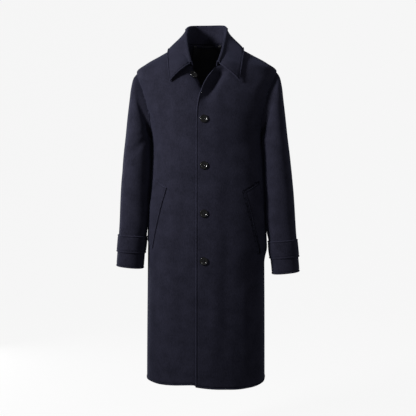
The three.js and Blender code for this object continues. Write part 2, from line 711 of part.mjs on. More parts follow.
function makeLeaf(stand) {
  const top = stand.rows.at(-1);
  const outward = stand.normals.at(-1);
  const shares = collarShares(top.length);
  const radius = ROLL + COLLAR_WALL;
  const rows = span(0, ROLL_ROWS + LEAF_ROWS).map(() => []);
  top.forEach((fold, k) => {
    const out = outward[k];
    const up = fold.clone().sub(stand.rows[0][k]).normalize();
    const centre = fold.clone().addScaledVector(out, ROLL)
      .addScaledVector(up, ROLL_GAP * SEAM);
    for (let i = 0; i <= ROLL_ROWS; i += 1) {
      const turn = Math.PI * (1 - i / ROLL_ROWS);
      const point = centre.clone().addScaledVector(out, radius * Math.cos(turn));
      rows[i].push(point.addScaledVector(up, radius * Math.sin(turn)));
    }
    const start = rows[ROLL_ROWS][k];
    const edge = leafEdge(shares[k]);
    const length = start.distanceTo(edge);
    const drop = start.clone().addScaledVector(up, -LEAF_DROP * length);
    const rest = edge.clone().lerp(start, LEAF_REST);
    const path = new THREE.CubicBezierCurve3(start, drop, rest, edge);
    const bow = LEAF_BOW.lift * smoothstep(Math.abs(shares[k]), LEAF_BOW.from, 1);
    for (let i = 1; i <= LEAF_ROWS; i += 1) {
      const way = i / LEAF_ROWS;
      rows[ROLL_ROWS + i].push(offBody(path.getPoint(way), LEAF_LIFT + bow * Math.sin(Math.PI * way)));
    }
  });
  const normals = gridNormals(rows, false);
  normals[0] = outward.map((normal) => normal.clone().negate());
  return { rows, normals };
}

// Point of a front's face at x (on its own side) and a level, and the way out of it
function frontFace(side, x, z) {
  const turn = turnOf(x, z);
  const point = bodyPoint(side, 1, turn, z);
  return point.addScaledVector(bodyNormal(side, 1, turn, z), frontLift(side, x, z));
}

function onFront(side, x, z, lift) {
  const point = frontFace(side, x, z);
  const across = frontFace(side, x + 2, z).sub(frontFace(side, x - 2, z));
  const up = frontFace(side, x, z + 2).sub(frontFace(side, x, z - 2));
  const normal = across.cross(up).multiplyScalar(side).normalize();
  return { point: point.addScaledVector(normal, lift), normal };
}

const WELT_COLUMNS = 4;
const WELT_ROWS = 9;

function makeWelt(side) {
  const rows = [];
  const normals = [];
  const corner = (spot) => ({ turn: turnOf(spot.x, spot.z), z: spot.z + side.pocket });
  const { topInner, topOuter, lowInner, lowOuter } = WELT;
  const [a, b, c, d] = [lowInner, lowOuter, topInner, topOuter].map(corner);
  for (let i = 0; i <= WELT_ROWS; i += 1) {
    const v = i / WELT_ROWS;
    const spots = span(0, WELT_COLUMNS).map((k) => {
      const u = k / WELT_COLUMNS;
      const turn = lerp(lerp(a.turn, b.turn, u), lerp(c.turn, d.turn, u), v);
      const z = lerp(lerp(a.z, b.z, u), lerp(c.z, d.z, u), v);
      const x = halfWidth(z) * Math.cos(turn) ** (2 / ROUND);
      return onFront(side.sign, x, z, WELT_GAP + WELT_WALL);
    });
    rows.push(spots.map((spot) => spot.point));
    normals.push(spots.map((spot) => spot.normal));
  }
  return { rows, normals };
}

// Plain lining and hanging loop inside the back of the neck
const LINING = { half: 66, top: 2, low: -170, narrowing: 0.72, rows: 6, columns: 12 };
const LOOP = { half: 38, height: 7, wall: 1.5, gap: 0.9, level: 5, sag: 4, columns: 12 };

function insideBack(x, z, depth) {
  const turn = turnOf(Math.abs(x), z);
  const side = x < 0 ? -1 : 1;
  const normal = bodyNormal(side, -1, turn, z);
  return { point: bodyPoint(side, -1, turn, z).addScaledVector(normal, -depth), normal: normal.negate() };
}

function insideGrid(rowCount, columnCount, spot) {
  const rows = [];
  const normals = [];
  for (let i = 0; i <= rowCount; i += 1) {
    const spots = span(0, columnCount).map((k) => spot(k / columnCount, i / rowCount));
    rows.push(spots.map((item) => item.point));
    normals.push(spots.map((item) => item.normal));
  }
  return { rows, normals };
}

function makeLining() {
  return insideGrid(LINING.rows, LINING.columns, (u, v) => {
    const low = lerp(-LINING.half, LINING.half, u);
    const x = low * lerp(1, LINING.narrowing, v);
    return insideBack(x, lerp(LINING.low, LINING.top, v), CLOTH + LINING_GAP + LINING_WALL);
  });
}

function makeLoop() {
  const depth = CLOTH + LINING_GAP + LINING_WALL + LOOP.gap + LOOP.wall;
  return insideGrid(1, LOOP.columns, (u, v) => {
    const x = lerp(-LOOP.half, LOOP.half, u);
    const z = LOOP.level - LOOP.sag * Math.sin(Math.PI * u) - LOOP.height * (1 - v);
    return insideBack(x, z, depth);
  });
}

// Button with a raised rim, a dished middle and four thread holes, its back at z = 0
function buttonGeometry() {
  const profile = [
    [0, 0], [0.72, 0], [0.94, 0.16], [1, 0.45], [0.97, 0.85], [0.86, 1], [0.74, 0.93],
    [0.62, 0.66], [0, 0.6],
  ].map(([r, h]) => new THREE.Vector2(r * BUTTON_RADIUS, h * BUTTON_HEIGHT));
  const disc = new THREE.LatheGeometry(profile, 24).rotateX(Math.PI / 2);
  const { radius, spread, count } = THREAD_HOLE;
  let solid = toManifold(disc);
  for (let i = 0; i < count; i += 1) {
    const angle = (2 * Math.PI * (i + 0.5)) / count;
    const hole = new THREE.CylinderGeometry(radius, radius, 4 * BUTTON_HEIGHT, 8);
    hole.rotateX(Math.PI / 2);
    hole.translate(spread * Math.cos(angle), spread * Math.sin(angle), 0);
    solid = solid.subtract(toManifold(hole));
  }
  return fromManifold(solid);
}

function toManifold(geometry) {
  const bare = geometry.clone();
  bare.deleteAttribute('normal');
  bare.deleteAttribute('uv');
  const merged = mergeVertices(bare, 1e-4);
  const mesh = new wasm.Mesh({
    numProp: 3,
    vertProperties: new Float32Array(merged.attributes.position.array),
    triVerts: new Uint32Array(merged.index.array),
  });
  return new wasm.Manifold(mesh);
}

function fromManifold(solid) {
  const mesh = solid.getMesh();
  const geometry = new THREE.BufferGeometry();
  geometry.setAttribute('position', new THREE.Float32BufferAttribute(mesh.vertProperties, 3));
  geometry.setIndex([...mesh.triVerts]);
  geometry.computeVertexNormals();
  return geometry;
}

function placeButton(name, geometry, spot) {
  const mesh = named(name, geometry, HORN);
  mesh.position.copy(spot.point);
  mesh.quaternion.setFromUnitVectors(new THREE.Vector3(0, 0, 1), spot.normal);
  return mesh;
}

// The whole coat
const coat = new THREE.Group();
const fronts = { left: makeFront(1), right: makeFront(-1) };
const back = makeBack();
const seam = neckSeam(fronts, back);
const stand = makeStand(seam);

coat.add(panelMesh('back', back, CLOTH, WOOL));
coat.add(panelMesh('collar_stand', stand, COLLAR_WALL, WOOL, true));
coat.add(panelMesh('collar_leaf', makeLeaf(stand), COLLAR_WALL, WOOL));

for (const [name, side] of Object.entries(SIDES)) {
  const mirrored = side.sign < 0;
  const sleeve = makeSleeve(side, fronts[name], back);
  coat.add(panelMesh(`front_${name}`, fronts[name], CLOTH, WOOL, mirrored));
  coat.add(panelMesh(`sleeve_${name}`, sleeve, CLOTH, WOOL, mirrored, true));
  coat.add(panelMesh(`cuff_strap_${name}`, makeStrap(sleeve), STRAP_WALL, WOOL, mirrored, true));
  coat.add(panelMesh(`pocket_welt_${name}`, makeWelt(side), WELT_WALL, WOOL, mirrored));
}

coat.add(panelMesh('neck_lining', makeLining(), LINING_WALL, SATIN));
coat.add(panelMesh('hanging_loop', makeLoop(), LOOP.wall, WOOL));

const button = buttonGeometry();
const undoneX = edgeUnder(BUTTON_UNDONE.z) + BUTTON_UNDONE.past;
coat.add(placeButton('button_1', button, onFront(-1, undoneX, BUTTON_UNDONE.z, BUTTON_UNDONE.gap)));
BUTTONS_DONE_UP.forEach((z, i) => {
  coat.add(placeButton(`button_${i + 2}`, button, onFront(1, 0, z, TRIM_GAP)));
});

export default coat;
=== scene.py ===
import bpy
import numpy as np
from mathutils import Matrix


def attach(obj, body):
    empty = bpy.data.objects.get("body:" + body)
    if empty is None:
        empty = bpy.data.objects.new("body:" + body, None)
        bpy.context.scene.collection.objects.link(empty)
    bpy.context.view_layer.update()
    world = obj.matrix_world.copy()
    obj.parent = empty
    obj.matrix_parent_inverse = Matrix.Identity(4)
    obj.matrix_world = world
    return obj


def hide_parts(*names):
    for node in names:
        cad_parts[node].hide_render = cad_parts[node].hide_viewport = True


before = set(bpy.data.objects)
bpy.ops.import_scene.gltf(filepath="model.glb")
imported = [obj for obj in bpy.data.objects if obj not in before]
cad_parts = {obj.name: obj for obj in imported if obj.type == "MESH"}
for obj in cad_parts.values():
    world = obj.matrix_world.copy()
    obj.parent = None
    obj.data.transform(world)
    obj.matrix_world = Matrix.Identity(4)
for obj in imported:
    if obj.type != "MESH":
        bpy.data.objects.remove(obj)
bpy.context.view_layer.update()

# Lengths are in millimetres up to put_mesh, which stores metres. +Z is up, the front faces -Y and
# the wearer's left is +X. Surfaces are worked out as grids: rows up, columns across.
MM = 0.001
CLOTH, SEAM = 3.0, 0.3
ROUND, SLEEVE_ROUND = 2.3, 2.2
UNDERARM, SHOULDER_TIP, NECK_SIDE, NECK_BACK = -315.0, -100.0, -3.0, 7.0
LAP_LIFT = 4.0
COLLAR_WALL, ROLL, LEAF_LIFT = 3.0, 2.0, 7.0
WELT_WALL, STRAP_WALL, TRIM_GAP, WELT_GAP, LINING_GAP, LINING_WALL = 3.0, 2.6, 0.4, 0.7, 2.0, 1.2
BUTTON_RADIUS, BUTTON_HEIGHT = 12.5, 4.6
NECK_PLACE = 6 / 13  # where the neck's side lies in the count of columns
COLUMN_SPREAD, NECK_BOW, NECK_BOW_END, ARM_PULL, EDGE_PULL = 1.25, 30.0, 0.55, 3, 6
HEM_BACK, FLUTE_REACH = -1082.0, 170.0
FLARE_FADE, TUCK_FADE = 13.0, 14.0
LEAF_BOW = (9.0, 0.7)  # how far the leaf's front edges bow off the coat, and where that starts
STITCH_IN = 6.0  # the topstitching's distance from an edge
POCKET_SHADE_REACH, POCKET_SHADE_IN = 12, 1.6  # reach of the painted shade line round the far pocket, its shift on the welt

# Level, half width, depth of the front and of the back
BODY = [
    (-1100, 190, 156, 151), (-900, 190, 155, 147), (-655, 189, 152, 139), (-540, 186, 147, 131),
    (-440, 178.5, 143, 128), (-340, 174, 141, 132), (-315, 176.5, 141, 134), (-250, 193, 139, 135),
    (-200, 206, 134, 133), (-150, 218, 124, 127), (-125, 224, 116, 121), (-100, 227, 106, 115),
    (-75, 197, 92, 107), (-50, 153, 77, 97), (-25, 109, 61, 84), (-3, 70, 46, 72), (8, 62, 40, 66)]
# Level, how much further out the left side lies
LEFT_SIDE = [(-1100, -2), (-715, -2), (-694, 1), (-667, 7), (-618, 6), (-546, 8), (-443, 11),
             (-381, 11.5), (-340, 6), (-305, 0)]
# Level, x of the upper front's edge and of the lower one's
FRONT_EDGE = [(-1100, -25, -25), (-300, -25, -25), (-250, -24, -22), (-210, -18, -13),
              (-175, -6, 0), (-150, 5, 13), (-125, 20, 27), (-100, 36, 38)]
# Level, flare and trough of the upper front, turn-in of the lower one
OPEN_NECK = [(-320, 0, 0, 0), (-265, 0, 0, 0), (-225, 5, 2, 8), (-190, 10, 11, 15),
             (-155, 14, 21, 25), (-125, 9, 17, 23), (-100, 1, 3, 2)]
# Share of the front's neck seam from the collar's end, x, level
NECK_FRONT = [(0, 37, -100), (0.25, 54, -76), (0.5, 64, -52), (0.75, 69, -28), (1, 70, -3)]
# Share of the armhole from the underarm up, level, reach to the front and to the back
ARMHOLE = [(0, -315, 0, 0), (0.1, -310, 24, 22), (0.2, -296, 45, 39), (0.3, -274, 59, 51),
           (0.4, -244, 64, 57), (0.5, -208, 62, 57), (0.6, -172, 55, 52), (0.7, -142, 43, 42),
           (0.8, -120, 29, 29), (0.9, -106, 13, 13), (1, -100, 0, 0)]
# x, level of the front's hem
HEM = [(-200, -1074), (-174, -1084), (-142, -1087), (-30, -1079), (-24, -1084), (75, -1092.5),
       (119, -1095), (148, -1094), (177, -1087), (200, -1076)]
# Side, turn from the side seam, depth at the hem, half width in degrees, level of the start
FLUTES = [(1, 24, 5, 12, -560), (1, 52, -4, 13, -640), (1, -22, -6, 13, -520), (1, -50, 7, 14, -430),
          (-1, 21, 4, 11, -600), (-1, 55, -5, 15, -560), (-1, -30, 6, 14, -470), (-1, -62, -6, 13, -540)]
# Level and x of the outer point, level and x of the inner one, the left sleeve's extra there,
# reach to the front and to the back
SLEEVE = [
    (-117, 236, -324, 176.5, 0, -69, 64), (-146, 243, -335, 174, 3, -79, 71),
    (-190, 248, -350, 173, 5, -87, 72), (-245, 254, -372, 175, 7, -92, 69),
    (-310, 260.5, -402, 176, 7.5, -95, 62), (-371, 267.5, -438, 179, 6.5, -97, 52),
    (-432, 273.5, -480, 182.5, 4, -97, 43), (-492, 278.5, -522, 186, 2, -98, 35),
    (-545, 281.5, -565, 186.5, 1, -98, 28), (-595, 284, -606, 191, 0.5, -98, 22),
    (-631, 286.5, -637, 199, -1.5, -98, 18), (-659, 289, -665, 201.5, -2, -98, 16),
    (-686, 291.5, -692, 205, -2, -98, 15), (-710, 293.5, -717, 207, -1, -98, 14),
    (-732, 295, -741, 209, -1, -98, 13)]
FREE_RINGS, SIDE_GAP = 0, 1.5  # rings that the side doesn't press in, and the gap of the others to it
STRAP_RINGS = (11, 13)
SIDES = {"left": (1, 2.0, -8.0, -13.0), "right": (-1, -9.0, 8.0, 0.0)}  # sign, swing, drop, pocket
# Side, turn from the outside in degrees, level, slope, depth, half width, reach in degrees
SLEEVE_CREASES = [(-1, 92, -352, 0.9, 4.5, 17, 52), (-1, 120, -300, 0.5, 3, 13, 34),
                  (-1, -80, -420, -0.6, 4, 18, 50), (1, 96, -330, 0.8, 3.5, 16, 45),
                  (1, -95, -385, -0.8, 4.5, 18, 52)]
# Share of the collar from the centre back, x, y, level of its turn
FOLD = [(0, 0, 63, 63), (0.18, 33, 58, 62), (0.34, 52, 38, 56), (0.5, 60.5, -2, 39),
        (0.56, 61, -27, 20), (0.625, 59.5, -51, -5), (0.75, 55, -79, -42), (0.875, 48.5, -98, -69),
        (1, 40, -112, -92)]
# Share, x and level of the leaf's outer edge
LEAF_EDGE = [(0, 0, -27), (0.18, 48, -28), (0.34, 84, -30), (0.42, 109, -27.5), (0.5, 118, -35),
             (0.625, 120, -58), (0.75, 117, -88), (0.875, 112, -119), (1, 107, -151)]
WELT = ((164, -668), (184, -640), (116, -477), (158, -447))  # low inner, low outer, top inner, top outer
BUTTONS_DONE_UP = (-268, -410, -557, -701)
BUTTON_UNDONE = (10, -125, 2.7)  # in from the lower front's edge, level, height off the cloth

# Soft troughs (depth above zero) and ridges of the body, each along a straight run:
# x and level of its ends, half width, depth
FRONT_FOLDS = [
    (-205, -118, -158, -168, 13, -3.2), (-186, -232, -166, -262, 6, 2.6),
    (-160, -250, -70, -292, 22, 1.6), (176, -248, 150, -290, 8, 2.0), (190, -130, 150, -182, 14, -1.8),
    (-118, -560, -108, -1080, 20, -2.4), (-68, -700, -52, -1085, 17, 1.8),
    (66, -610, 74, -1088, 24, 2.2), (122, -740, 132, -1088, 17, -2.6), (-150, -640, -160, -1075, 11, 1.7),
    (30, -830, 22, -1088, 14, -1.5), (92, -330, 120, -420, 26, 1.3)]
BACK_FOLDS = [
    (-150, -150, -120, -300, 20, 2.6), (146, -160, 112, -290, 22, 2.2), (-60, -120, -40, -330, 26, -1.6),
    (40, -480, 62, -1078, 26, 2.4), (-48, -620, -66, -1078, 20, -2.6), (118, -700, 128, -1078, 17, -2.0),
    (-128, -560, -120, -1078, 22, 2.2), (-20, -400, 70, -450, 30, 1.4), (-100, -380, -10, -430, 24, 1.6)]


def along(table, column, value):
    """Smooth curve through one column of a table: cubic pieces whose slope at a row is the harmonic
    mean of the two chords there, zero at a high or low, and held at the end values outside."""
    rows = np.array(sorted(table), float)
    key, data = rows[:, 0], rows[:, column]
    chord = np.diff(data) / np.diff(key)
    before, after = chord[:-1], chord[1:]
    rising = before * after > 0
    mean = np.where(rising, 2 * before * after / np.where(rising, before + after, 1), 0)
    slope = np.concatenate([chord[:1], mean, chord[-1:]])
    i = np.clip(np.searchsorted(key, value) - 1, 0, len(key) - 2)
    step = key[i + 1] - key[i]
    t = np.clip((value - key[i]) / step, 0, 1)
    bend = slope[i] * (1 - t) - slope[i + 1] * t
    return data[i] + (data[i + 1] - data[i]) * t * t * (3 - 2 * t) + bend * step * t * (1 - t)


def power(value, exponent):
    """The sign of value times its size to the exponent."""
    return np.sign(value) * np.abs(value) ** exponent


def hump(distance, width):
    """exp of minus the square of distance over width."""
    return np.exp(-((distance / width) ** 2))


def smooth(value, low, high):
    """0 below low, 1 above high, and the cubic 3 t^2 - 2 t^3 between."""
    t = np.clip((value - low) / (high - low), 0, 1)
    return t * t * (3 - 2 * t)


def mix(a, b, t):
    """a + (b - a) t."""
    return a + (b - a) * t


def unit(vectors):
    """Each vector over its length."""
    return vectors / np.maximum(np.linalg.norm(vectors, axis=-1, keepdims=True), 1e-9)


def turn_of(x, z):
    """Turn from the side seam: arccos of (x over the half width) to the power ROUND / 2."""
    return np.arccos(power(np.clip(x / along(BODY, 1, z), -1, 1), ROUND / 2))


def flutes(side, turn, z):
    """Sum of humps across the turn, each growing smoothly from its start level to the hem."""
    out = np.zeros(np.broadcast(side, turn, z).shape)
    for own, middle, depth, spread, top in FLUTES:
        drop = smooth(top - z, 0, top - HEM_BACK)
        out += (side == own) * depth * drop * hump(turn - np.radians(middle), np.radians(spread))
    return out


def body(side, face, turn, z):
    """Superellipse of power ROUND on each level: x = half width cos^(2/ROUND), y = depth
    sin^(2/ROUND), both swelled by the flutes."""
    depth = along(BODY, 2 if face > 0 else 3, z)
    cross = np.where(np.cos(turn) < 0, -side, side)
    grow = 1 + flutes(cross, face * np.minimum(turn, np.pi - turn), z) / FLUTE_REACH
    wide = along(BODY, 1, z) + (cross > 0) * along(LEFT_SIDE, 1, z)
    x = side * wide * power(np.cos(turn), 2 / ROUND) * grow
    y = -face * depth * power(np.sin(turn), 2 / ROUND) * grow
    return np.stack(np.broadcast_arrays(x, y, z), -1)


def body_out(side, face, turn, z):
    """Unit cross product of the body's differences round it and up it, turned outwards."""
    step = np.radians(1)
    around = body(side, face, turn + step, z) - body(side, face, turn - step, z)
    up = body(side, face, turn, z + 1) - body(side, face, turn, z - 1)
    normal = unit(np.cross(around, up))
    outward = body(side, face, turn, z)[..., :2]
    return normal * np.where((normal[..., :2] * outward).sum(-1) < 0, -1, 1)[..., None]


def folds(table, x, z):
    """Sum of humps across straight runs, each fading towards both ends of its run."""
    sunk = np.zeros(np.broadcast(x, z).shape)
    for x0, z0, x1, z1, half, depth in table:
        length = np.hypot(x1 - x0, z1 - z0)
        way = ((x1 - x0) / length, (z1 - z0) / length)
        place = (x - x0) * way[0] + (z - z0) * way[1]
        off = (z - z0) * way[0] - (x - x0) * way[1]
        fade = smooth(place, -half, 0.35 * length) * (1 - smooth(place, 0.7 * length, length + half))
        sunk += depth * fade * hump(off, half)
    return sunk


def front_lift(side, x, z):
    """The lap's lift, the flare that fades from the edge, and the trough beside it, on the upper
    front; the fading turn-in on the lower one."""
    if side > 0:
        off = np.maximum(x - along(FRONT_EDGE, 1, z), 0)
        lap = LAP_LIFT * (1 - smooth(x, 30, 75)) * smooth(-z, 130, 180)
        return lap + along(OPEN_NECK, 1, z) * np.exp(-off / FLARE_FADE) - along(OPEN_NECK, 2, z) * hump(off - 26, 17)
    off = np.maximum(x - along(FRONT_EDGE, 2, z), 0)
    return -along(OPEN_NECK, 3, z) * np.exp(-off / TUCK_FADE)


def place(side, face, x, z):
    """Point of a panel: the body's point at x and z, moved out by the front's lift and in by the
    folds."""
    turn = turn_of(x, z)
    lift = front_lift(side, x, z) if face > 0 else 0
    lift = lift - folds(FRONT_FOLDS if face > 0 else BACK_FOLDS, side * x, z)
    return body(side, face, turn, z) + body_out(side, face, turn, z) * lift[..., None]


def level_x(u, edge_x, z):
    """x of a column on a level: its turn goes evenly from the edge's turn to 0 at the side."""
    half = along(BODY, 1, z)
    turn = np.arccos(power(edge_x / half, ROUND / 2)) * (1 - u)
    return half * power(np.cos(turn), 2 / ROUND)


def edge_of(side, face, z):
    """x of the panel's front or centre edge on a level."""
    return along(FRONT_EDGE, 1 if side > 0 else 2, z) if face > 0 else np.zeros(np.shape(z))


def spread(count, face):
    """Place across the panel of a column by its count from 0 to 1."""
    return count ** COLUMN_SPREAD if face > 0 else count


def skirt(side, face, count, share):
    """Panel below the underarm: levels go evenly from the hem's curve up to the underarm."""
    u = spread(count, face)
    flat = mix(HEM_BACK, UNDERARM, share)
    x = level_x(u, edge_of(side, face, UNDERARM), flat)
    hem = along(HEM, 1, side * x) if face > 0 else np.full(x.shape, HEM_BACK)
    return place(side, face, x, mix(hem, UNDERARM, share))


def top_edge(face, count):
    """x and level of the panel's top: the neck seam, then the straight shoulder seam."""
    neck = np.clip(count / NECK_PLACE, 0, 1)
    shoulder = np.clip((count - NECK_PLACE) / (1 - NECK_PLACE), 0, 1)
    z_shoulder = mix(NECK_SIDE, SHOULDER_TIP, shoulder)
    if face > 0:
        x, z = along(NECK_FRONT, 1, neck), along(NECK_FRONT, 2, neck)
    else:
        z = mix(NECK_BACK, NECK_SIDE, neck ** 2)
        x = along(BODY, 1, z) * np.sin(neck * np.pi / 2)
    beyond = count > NECK_PLACE
    return np.where(beyond, along(BODY, 1, z_shoulder), x), np.where(beyond, z_shoulder, z)


def chest(side, face, count, share):
    """Panel from the underarm to the neck and shoulder: x and level go evenly up each column, with
    a bow near the neck and pulls that bring the outer column to the armhole's curve and the first
    one to the front edge."""
    u = spread(count, face)
    top_x, top_z = top_edge(face, count)
    arm_z = along(ARMHOLE, 1, share)
    reach = along(ARMHOLE, 2 if face > 0 else 3, share)
    depth = along(BODY, 2 if face > 0 else 3, arm_z)
    arm_x = along(BODY, 1, arm_z) * (1 - (reach / depth) ** ROUND) ** (1 / ROUND)
    z = mix(UNDERARM, top_z, share) + (arm_z - mix(UNDERARM, SHOULDER_TIP, share)) * u ** ARM_PULL
    ends = [float(along(BODY, 1, level)) for level in (UNDERARM, SHOULDER_TIP)]
    arm_off = arm_x - mix(ends[0], ends[1], share)
    low_edge = float(edge_of(side, face, UNDERARM))
    first_x, first_z = (float(v) for v in top_edge(face, np.array(0.0)))
    edge_off = edge_of(side, face, mix(UNDERARM, first_z, share)) - mix(low_edge, first_x, share)
    bow = NECK_BOW * np.sin(np.pi * np.minimum(1, u / NECK_BOW_END)) * 4 * share * (1 - share)
    pull = arm_off * u ** ARM_PULL + edge_off * (share < 1) * (1 - u) ** EDGE_PULL
    x = mix(level_x(u, low_edge, UNDERARM), top_x, share) + bow + pull
    return place(side, face, x, z)


EDGE_STEPS = np.array([0, 0.3, 0.8, 1.5, 2.4, 3.6, 4.8, 5.5, 6.1, 6.8, 8, 10.5, 14])
SEAM_STEPS = np.array([0, 0.3, 0.9, 1.8, 3.2, 5.5, 9])


def graded(length, count, low=None, high=None):
    """Places from 0 to 1 over a length: the given steps from either end, even ones between."""
    first = np.array([0.0]) if low is None else low / length
    last = np.array([1.0]) if high is None else 1 - high[::-1] / length
    middle = np.linspace(first[-1], last[0], count + 1)
    return np.concatenate([first[:-1], middle, last[1:]])


def normals_of(points, looped=False):
    """Unit cross product of the grid's central differences across and up."""
    if looped:
        across = np.roll(points, -1, 1) - np.roll(points, 1, 1)
    else:
        across = np.gradient(points, axis=1)
    return unit(np.cross(across, np.gradient(points, axis=0)))


def run(points, axis):
    """Length along a grid's axis from its first line."""
    step = np.linalg.norm(np.diff(points, axis=axis), axis=-1)
    return np.concatenate([np.zeros_like(np.take(step, [0], axis)), np.cumsum(step, axis)], axis)


def edge_places(points, names):
    """Distance in from the nearest of the named edges, and the length along that edge."""
    across, up = run(points, 1), run(points, 0)
    table = {"start": (across, up), "end": (across[:, -1:] - across, up),
             "low": (up, across), "top": (up[-1:] - up, across)}
    if not names:
        return np.full(across.shape, 99.0), across
    off = np.stack([table[name][0] for name in names])
    place_on = np.stack([table[name][1] for name in names])
    pick = off.argmin(0)[None]
    return np.take_along_axis(off, pick, 0)[0], np.take_along_axis(place_on, pick, 0)[0]


def put_mesh(name, points, faces, seam=None):
    """New object from points in millimetres and four-cornered faces, smooth, at the origin."""
    mesh = bpy.data.meshes.new(name)
    mesh.vertices.add(len(points))
    mesh.vertices.foreach_set("co", (points * MM).astype(np.float32).ravel())
    mesh.loops.add(faces.size)
    mesh.loops.foreach_set("vertex_index", faces.astype(np.int32).ravel())
    mesh.polygons.add(len(faces))
    mesh.polygons.foreach_set("loop_start", np.arange(0, faces.size, 4, dtype=np.int32))
    mesh.polygons.foreach_set("use_smooth", np.ones(len(faces), bool))
    if seam is not None:
        mesh.attributes.new("seam", "FLOAT_VECTOR", "POINT").data.foreach_set(
            "vector", seam.astype(np.float32).ravel())
    mesh.update()
    mesh.validate()
    piece = bpy.data.objects.new(name, mesh)
    bpy.context.scene.collection.objects.link(piece)
    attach(piece, "root")
    return piece


def quads(rows, columns, looped=False):
    """Corner numbers of the four-cornered faces of a grid."""
    i, k = np.meshgrid(np.arange(rows - 1), np.arange(columns if looped else columns - 1), indexing="ij")
    after = (k + 1) % columns
    return np.stack([i * columns + k, i * columns + after, (i + 1) * columns + after,
                     (i + 1) * columns + k], -1).reshape(-1, 4)


def wall(name, points, thick, sewn=(), stitched=(), out=None, looped=False, radius=1.4, groove=1.1,
         swell=0.7, inner=None):
    """Closed cloth wall under a grid. Its edges are rounded on both skins by a quarter ellipse of
    the radius, free edges swell between edge and stitching, a groove of hump section lies under
    the stitching, and sewn edges dip as exp(-distance)."""
    rows, columns = points.shape[:2]
    normal = normals_of(points, looped) if out is None else out
    grid_way = normals_of(points, looped)
    flip = (grid_way * normal).sum() < 0
    all_edges = ("low", "top") if looped else ("low", "top", "start", "end")
    off, _ = edge_places(points, all_edges)
    near = np.clip(1 - off / radius, 0, 1)
    drop = min(radius, 0.42 * thick) * (1 - np.sqrt(1 - near ** 2))
    rise = -drop
    seam_off, seam_run = edge_places(points, stitched)
    if stitched:
        rise = rise - groove * hump(seam_off - STITCH_IN, 1.0)
        rise = rise + swell * smooth(seam_off, 0, 2) * (1 - smooth(seam_off, 3.6, 5.4))
    if sewn:
        sewn_off, _ = edge_places(points, sewn)
        rise = rise - 1.1 * np.exp(-sewn_off / 2.4)
    face = points + normal * rise[..., None]
    under = points - normal * (thick - drop)[..., None]
    if inner is not None:
        under = under + normal * inner[..., None]
    seam = np.stack([seam_off, seam_run, off], -1).reshape(-1, 3)
    count = rows * columns
    top = quads(rows, columns, looped)
    rim = []
    spans = np.arange(columns if looped else columns - 1)
    after = (spans + 1) % columns
    low, high = spans, (rows - 1) * columns + spans
    rim.append(np.stack([after, low, count + low, count + after], -1))
    rim.append(np.stack([high, (rows - 1) * columns + after, count + (rows - 1) * columns + after,
                         count + high], -1))
    if not looped:
        start = np.arange(rows - 1) * columns
        end = start + columns - 1
        rim.append(np.stack([start, start + columns, count + start + columns, count + start], -1))
        rim.append(np.stack([end + columns, end, count + end, count + end + columns], -1))
    faces = np.concatenate([top, count + top[:, ::-1]] + rim)
    if flip:
        faces = faces[:, ::-1]
    return put_mesh(name + "_cloth", np.concatenate([face.reshape(-1, 3), under.reshape(-1, 3)]), faces,
                    np.concatenate([seam, seam]))


def panel_grid(side, face):
    """Half of the coat's front or back: skirt rows and chest rows, a sixth of the CAD's gap off the
    side seam."""
    first = graded(90, 26) * NECK_PLACE
    second = NECK_PLACE + (1 - NECK_PLACE) * graded(150, 34, None, SEAM_STEPS)
    if face > 0:  # even steps from the edge, which the columns' spread would bunch
        reach = np.concatenate([EDGE_STEPS, np.linspace(14, 102, 24)[1:]]) / 230
        first = np.minimum(reach ** (1 / COLUMN_SPREAD), NECK_PLACE)
        first = np.concatenate([first[first < NECK_PLACE - 0.004], [NECK_PLACE]])
    count = np.concatenate([first, second[1:]])[None, :]
    low = graded(770, 92, EDGE_STEPS)[:-1, None]
    high = graded(240, 66, None, SEAM_STEPS)[:, None]
    points = np.concatenate([skirt(side, face, count, low), chest(side, face, count, high)])
    if face < 0:  # evens out the line that would run down from the neck's corner
        own = (1 - smooth(np.abs(count - NECK_PLACE), 0.08, 0.22)) * smooth(high, 0, 0.15)
        own = (0.5 * own * (1 - smooth(high, 0.9, 1)))[:, 1:-1, None]
        for _ in range(60):
            upper = points[len(low):]
            upper[:, 1:-1] = mix(upper[:, 1:-1], (upper[:, :-2] + upper[:, 2:]) / 2, own)
    seam_shift = np.zeros(points.shape[:2])
    seam_shift[: len(low) + 1, -1] = 1
    seam_shift[-1, count[0] >= NECK_PLACE] = 1
    points[..., 1] -= face * seam_shift * SEAM / 6
    return points, count[0], high[:, 0]


fronts = {name: panel_grid(sign, 1)[0] for name, (sign, *_) in SIDES.items()}
halves = {name: panel_grid(sign, -1)[0] for name, (sign, *_) in SIDES.items()}
back_grid = np.concatenate([halves["left"][:, :0:-1], halves["right"]], axis=1)


def outwards(points, looped=False):
    """The grid's normals, turned away from the body's middle line."""
    normal = normals_of(points, looped)
    middle = points[len(points) // 3, points.shape[1] // 2]
    return normal * np.sign((normal[len(points) // 3, points.shape[1] // 2, :2] * middle[:2]).sum())


def panel_normals(points, seam_columns, shoulder):
    """Outward normals, brought into the seam's plane along the side and shoulder seams."""
    normal = outwards(points)
    for column in seam_columns:
        own = smooth(points[:, column, 2], UNDERARM - 3, UNDERARM + 12)[:, None]
        aside = np.array([np.sign(points[0, column, 0]), 0, 0])
        normal[:, column] = mix(aside, normal[:, column], own)
    line = points[-1, shoulder]
    way = np.gradient(line, axis=0)
    direction = np.stack([-way[:, 2], np.zeros(len(way)), way[:, 0]], -1)
    direction *= np.sign(direction[:, 2:3])
    normal[-1, shoulder] = direction
    return unit(normal)


